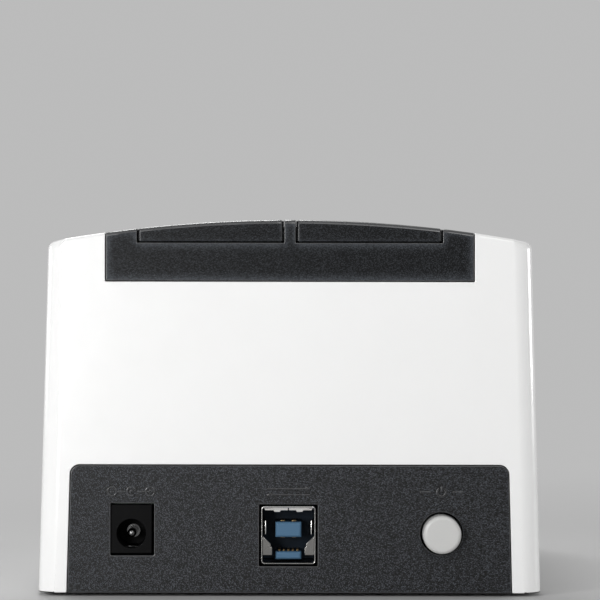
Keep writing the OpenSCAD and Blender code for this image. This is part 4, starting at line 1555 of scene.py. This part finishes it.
@dataclass
class Studio:
    """Camera, softboxes and a plain pale floor."""

    camera_x: float = -2.22 * MM
    camera_height: float = 65.2 * MM
    camera_distance: float = 590 * MM
    lens: float = 161.1
    sensor_w: float = 36.0
    clip_start: float = 10 * MM
    roll: float = math.radians(-0.1)
    aim_height: float = 40 * MM
    lamps: tuple[Lamp, ...] = (
        Lamp("key_softbox", (0.36, 0.93, 0.06), 0.5, 0.12, 0.78),
        Lamp("side_softbox", (0.63, 0.7, 0.34), 0.7, 0.06, 1.6),
        Lamp("front_softbox", (-0.25, 0.85, 0.45), 0.8, 0.25, 1.0),
        Lamp("top_softbox", (0.12, -0.6, 0.8), 1.0, 0.3, 4.0),
        Lamp("left_softbox", (0.88, -0.45, 0.15), 1.0, 0.3, 1.8),
        Lamp("right_softbox", (-0.95, -0.31, 0.14), 1.0, 0.28, 3.6),
    )
    world_light: float = 0.3
    pale: Colour = (0.5, 0.5, 0.5)
    floor_size: float = 8.0
    floor_rough: float = 0.6
    floor_gloss: float = 0.2
    shadow_reach: float = 0.15
    fade_end: float = 0.4

    def build(self) -> None:
        """Sets up the whole studio."""
        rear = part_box("rear_panel")[1].y
        self.camera(rear)
        aim = Vector((0.0, rear, self.aim_height))
        for lamp in self.lamps:
            lamp.hang(aim)
        self.floor()
        self.world()
        bpy.context.scene.view_settings.view_transform = "Standard"

    def camera(self, rear: float) -> None:
        """Places the camera behind the station, level.

        Args:
            rear: Y of the rear face.
        """
        data = bpy.data.cameras.new("rear_camera")
        data.lens = self.lens
        data.sensor_width = self.sensor_w
        data.clip_start = self.clip_start
        camera = bpy.data.objects.new("rear_camera", data)
        bpy.context.collection.objects.link(camera)
        camera.location = (self.camera_x, rear + self.camera_distance, self.camera_height)
        camera.rotation_euler = (math.pi / 2, self.roll, math.pi)
        bpy.context.scene.camera = camera

    @staticmethod
    def seen(tree: bpy.types.NodeTree) -> bpy.types.NodeSocket:
        """A socket that is 1 for what the camera, gloss and clear plastic see.

        Args:
            tree: node tree to add it to.

        Returns:
            The factor socket.
        """
        path = tree.nodes.new("ShaderNodeLightPath")
        factor = path.outputs["Is Camera Ray"]
        for name in ("Is Glossy Ray", "Is Transmission Ray"):
            either = tree.nodes.new("ShaderNodeMath")
            either.operation = "MAXIMUM"
            tree.links.new(factor, either.inputs[0])
            tree.links.new(path.outputs[name], either.inputs[1])
            factor = either.outputs["Value"]
        return factor

    def floor(self) -> None:
        """Lays a pale floor that takes the shadow and fades into the backdrop."""
        bpy.ops.object.select_all(action="DESELECT")
        bpy.ops.mesh.primitive_plane_add(size=self.floor_size, location=(0, 0, 0))
        floor = bpy.context.object
        floor.name = "studio_floor"
        desk = NodeDesk("floor_matt_pale")
        desk.set(
            Base_Color=(*self.pale, 1.0), Roughness=self.floor_rough, Specular_IOR_Level=self.floor_gloss
        )
        away = desk.add("ShaderNodeVectorMath")
        away.operation = "LENGTH"
        desk.join(desk.place, away.inputs[0])
        far = desk.ranged(away.outputs["Value"], 0.0, 1.0, self.shadow_reach, self.fade_end)
        fade = desk.calc("MULTIPLY", far, self.seen(desk.tree))
        plain = desk.add("ShaderNodeEmission", Color=(*self.pale, 1.0))
        choice = desk.add("ShaderNodeMixShader")
        desk.join(fade, choice.inputs["Fac"])
        desk.join(desk.shader.outputs["BSDF"], choice.inputs[1])
        desk.join(plain.outputs["Emission"], choice.inputs[2])
        desk.join(choice.outputs["Shader"], desk.output.inputs["Surface"])
        floor.data.materials.append(desk.material)

    def world(self) -> None:
        """Lights the room evenly and shows a pale backdrop to the camera and to gloss."""
        world = bpy.data.worlds.new("pale_room")
        bpy.context.scene.world = world
        world.use_nodes = True
        tree = world.node_tree
        tree.nodes.clear()
        room = tree.nodes.new("ShaderNodeBackground")
        room.inputs["Strength"].default_value = self.world_light
        room.inputs["Color"].default_value = (1.0, 1.0, 1.0, 1.0)
        shown = tree.nodes.new("ShaderNodeBackground")
        shown.inputs["Color"].default_value = (*self.pale, 1.0)
        choice = tree.nodes.new("ShaderNodeMixShader")
        tree.links.new(self.seen(tree), choice.inputs["Fac"])
        tree.links.new(room.outputs["Background"], choice.inputs[1])
        tree.links.new(shown.outputs["Background"], choice.inputs[2])
        output = tree.nodes.new("ShaderNodeOutputWorld")
        tree.links.new(choice.outputs["Shader"], output.inputs["Surface"])


def main() -> None:
    """Builds the station piece by piece."""
    logging.basicConfig(level=logging.INFO, format="%(name)s: %(message)s")
    parts = (Shell(), Deck(), RearPanel(), Ports(), PowerKey(), BoardStack(), Studio())
    for part in parts:
        part.build()


if __name__ == "__main__":
    main()
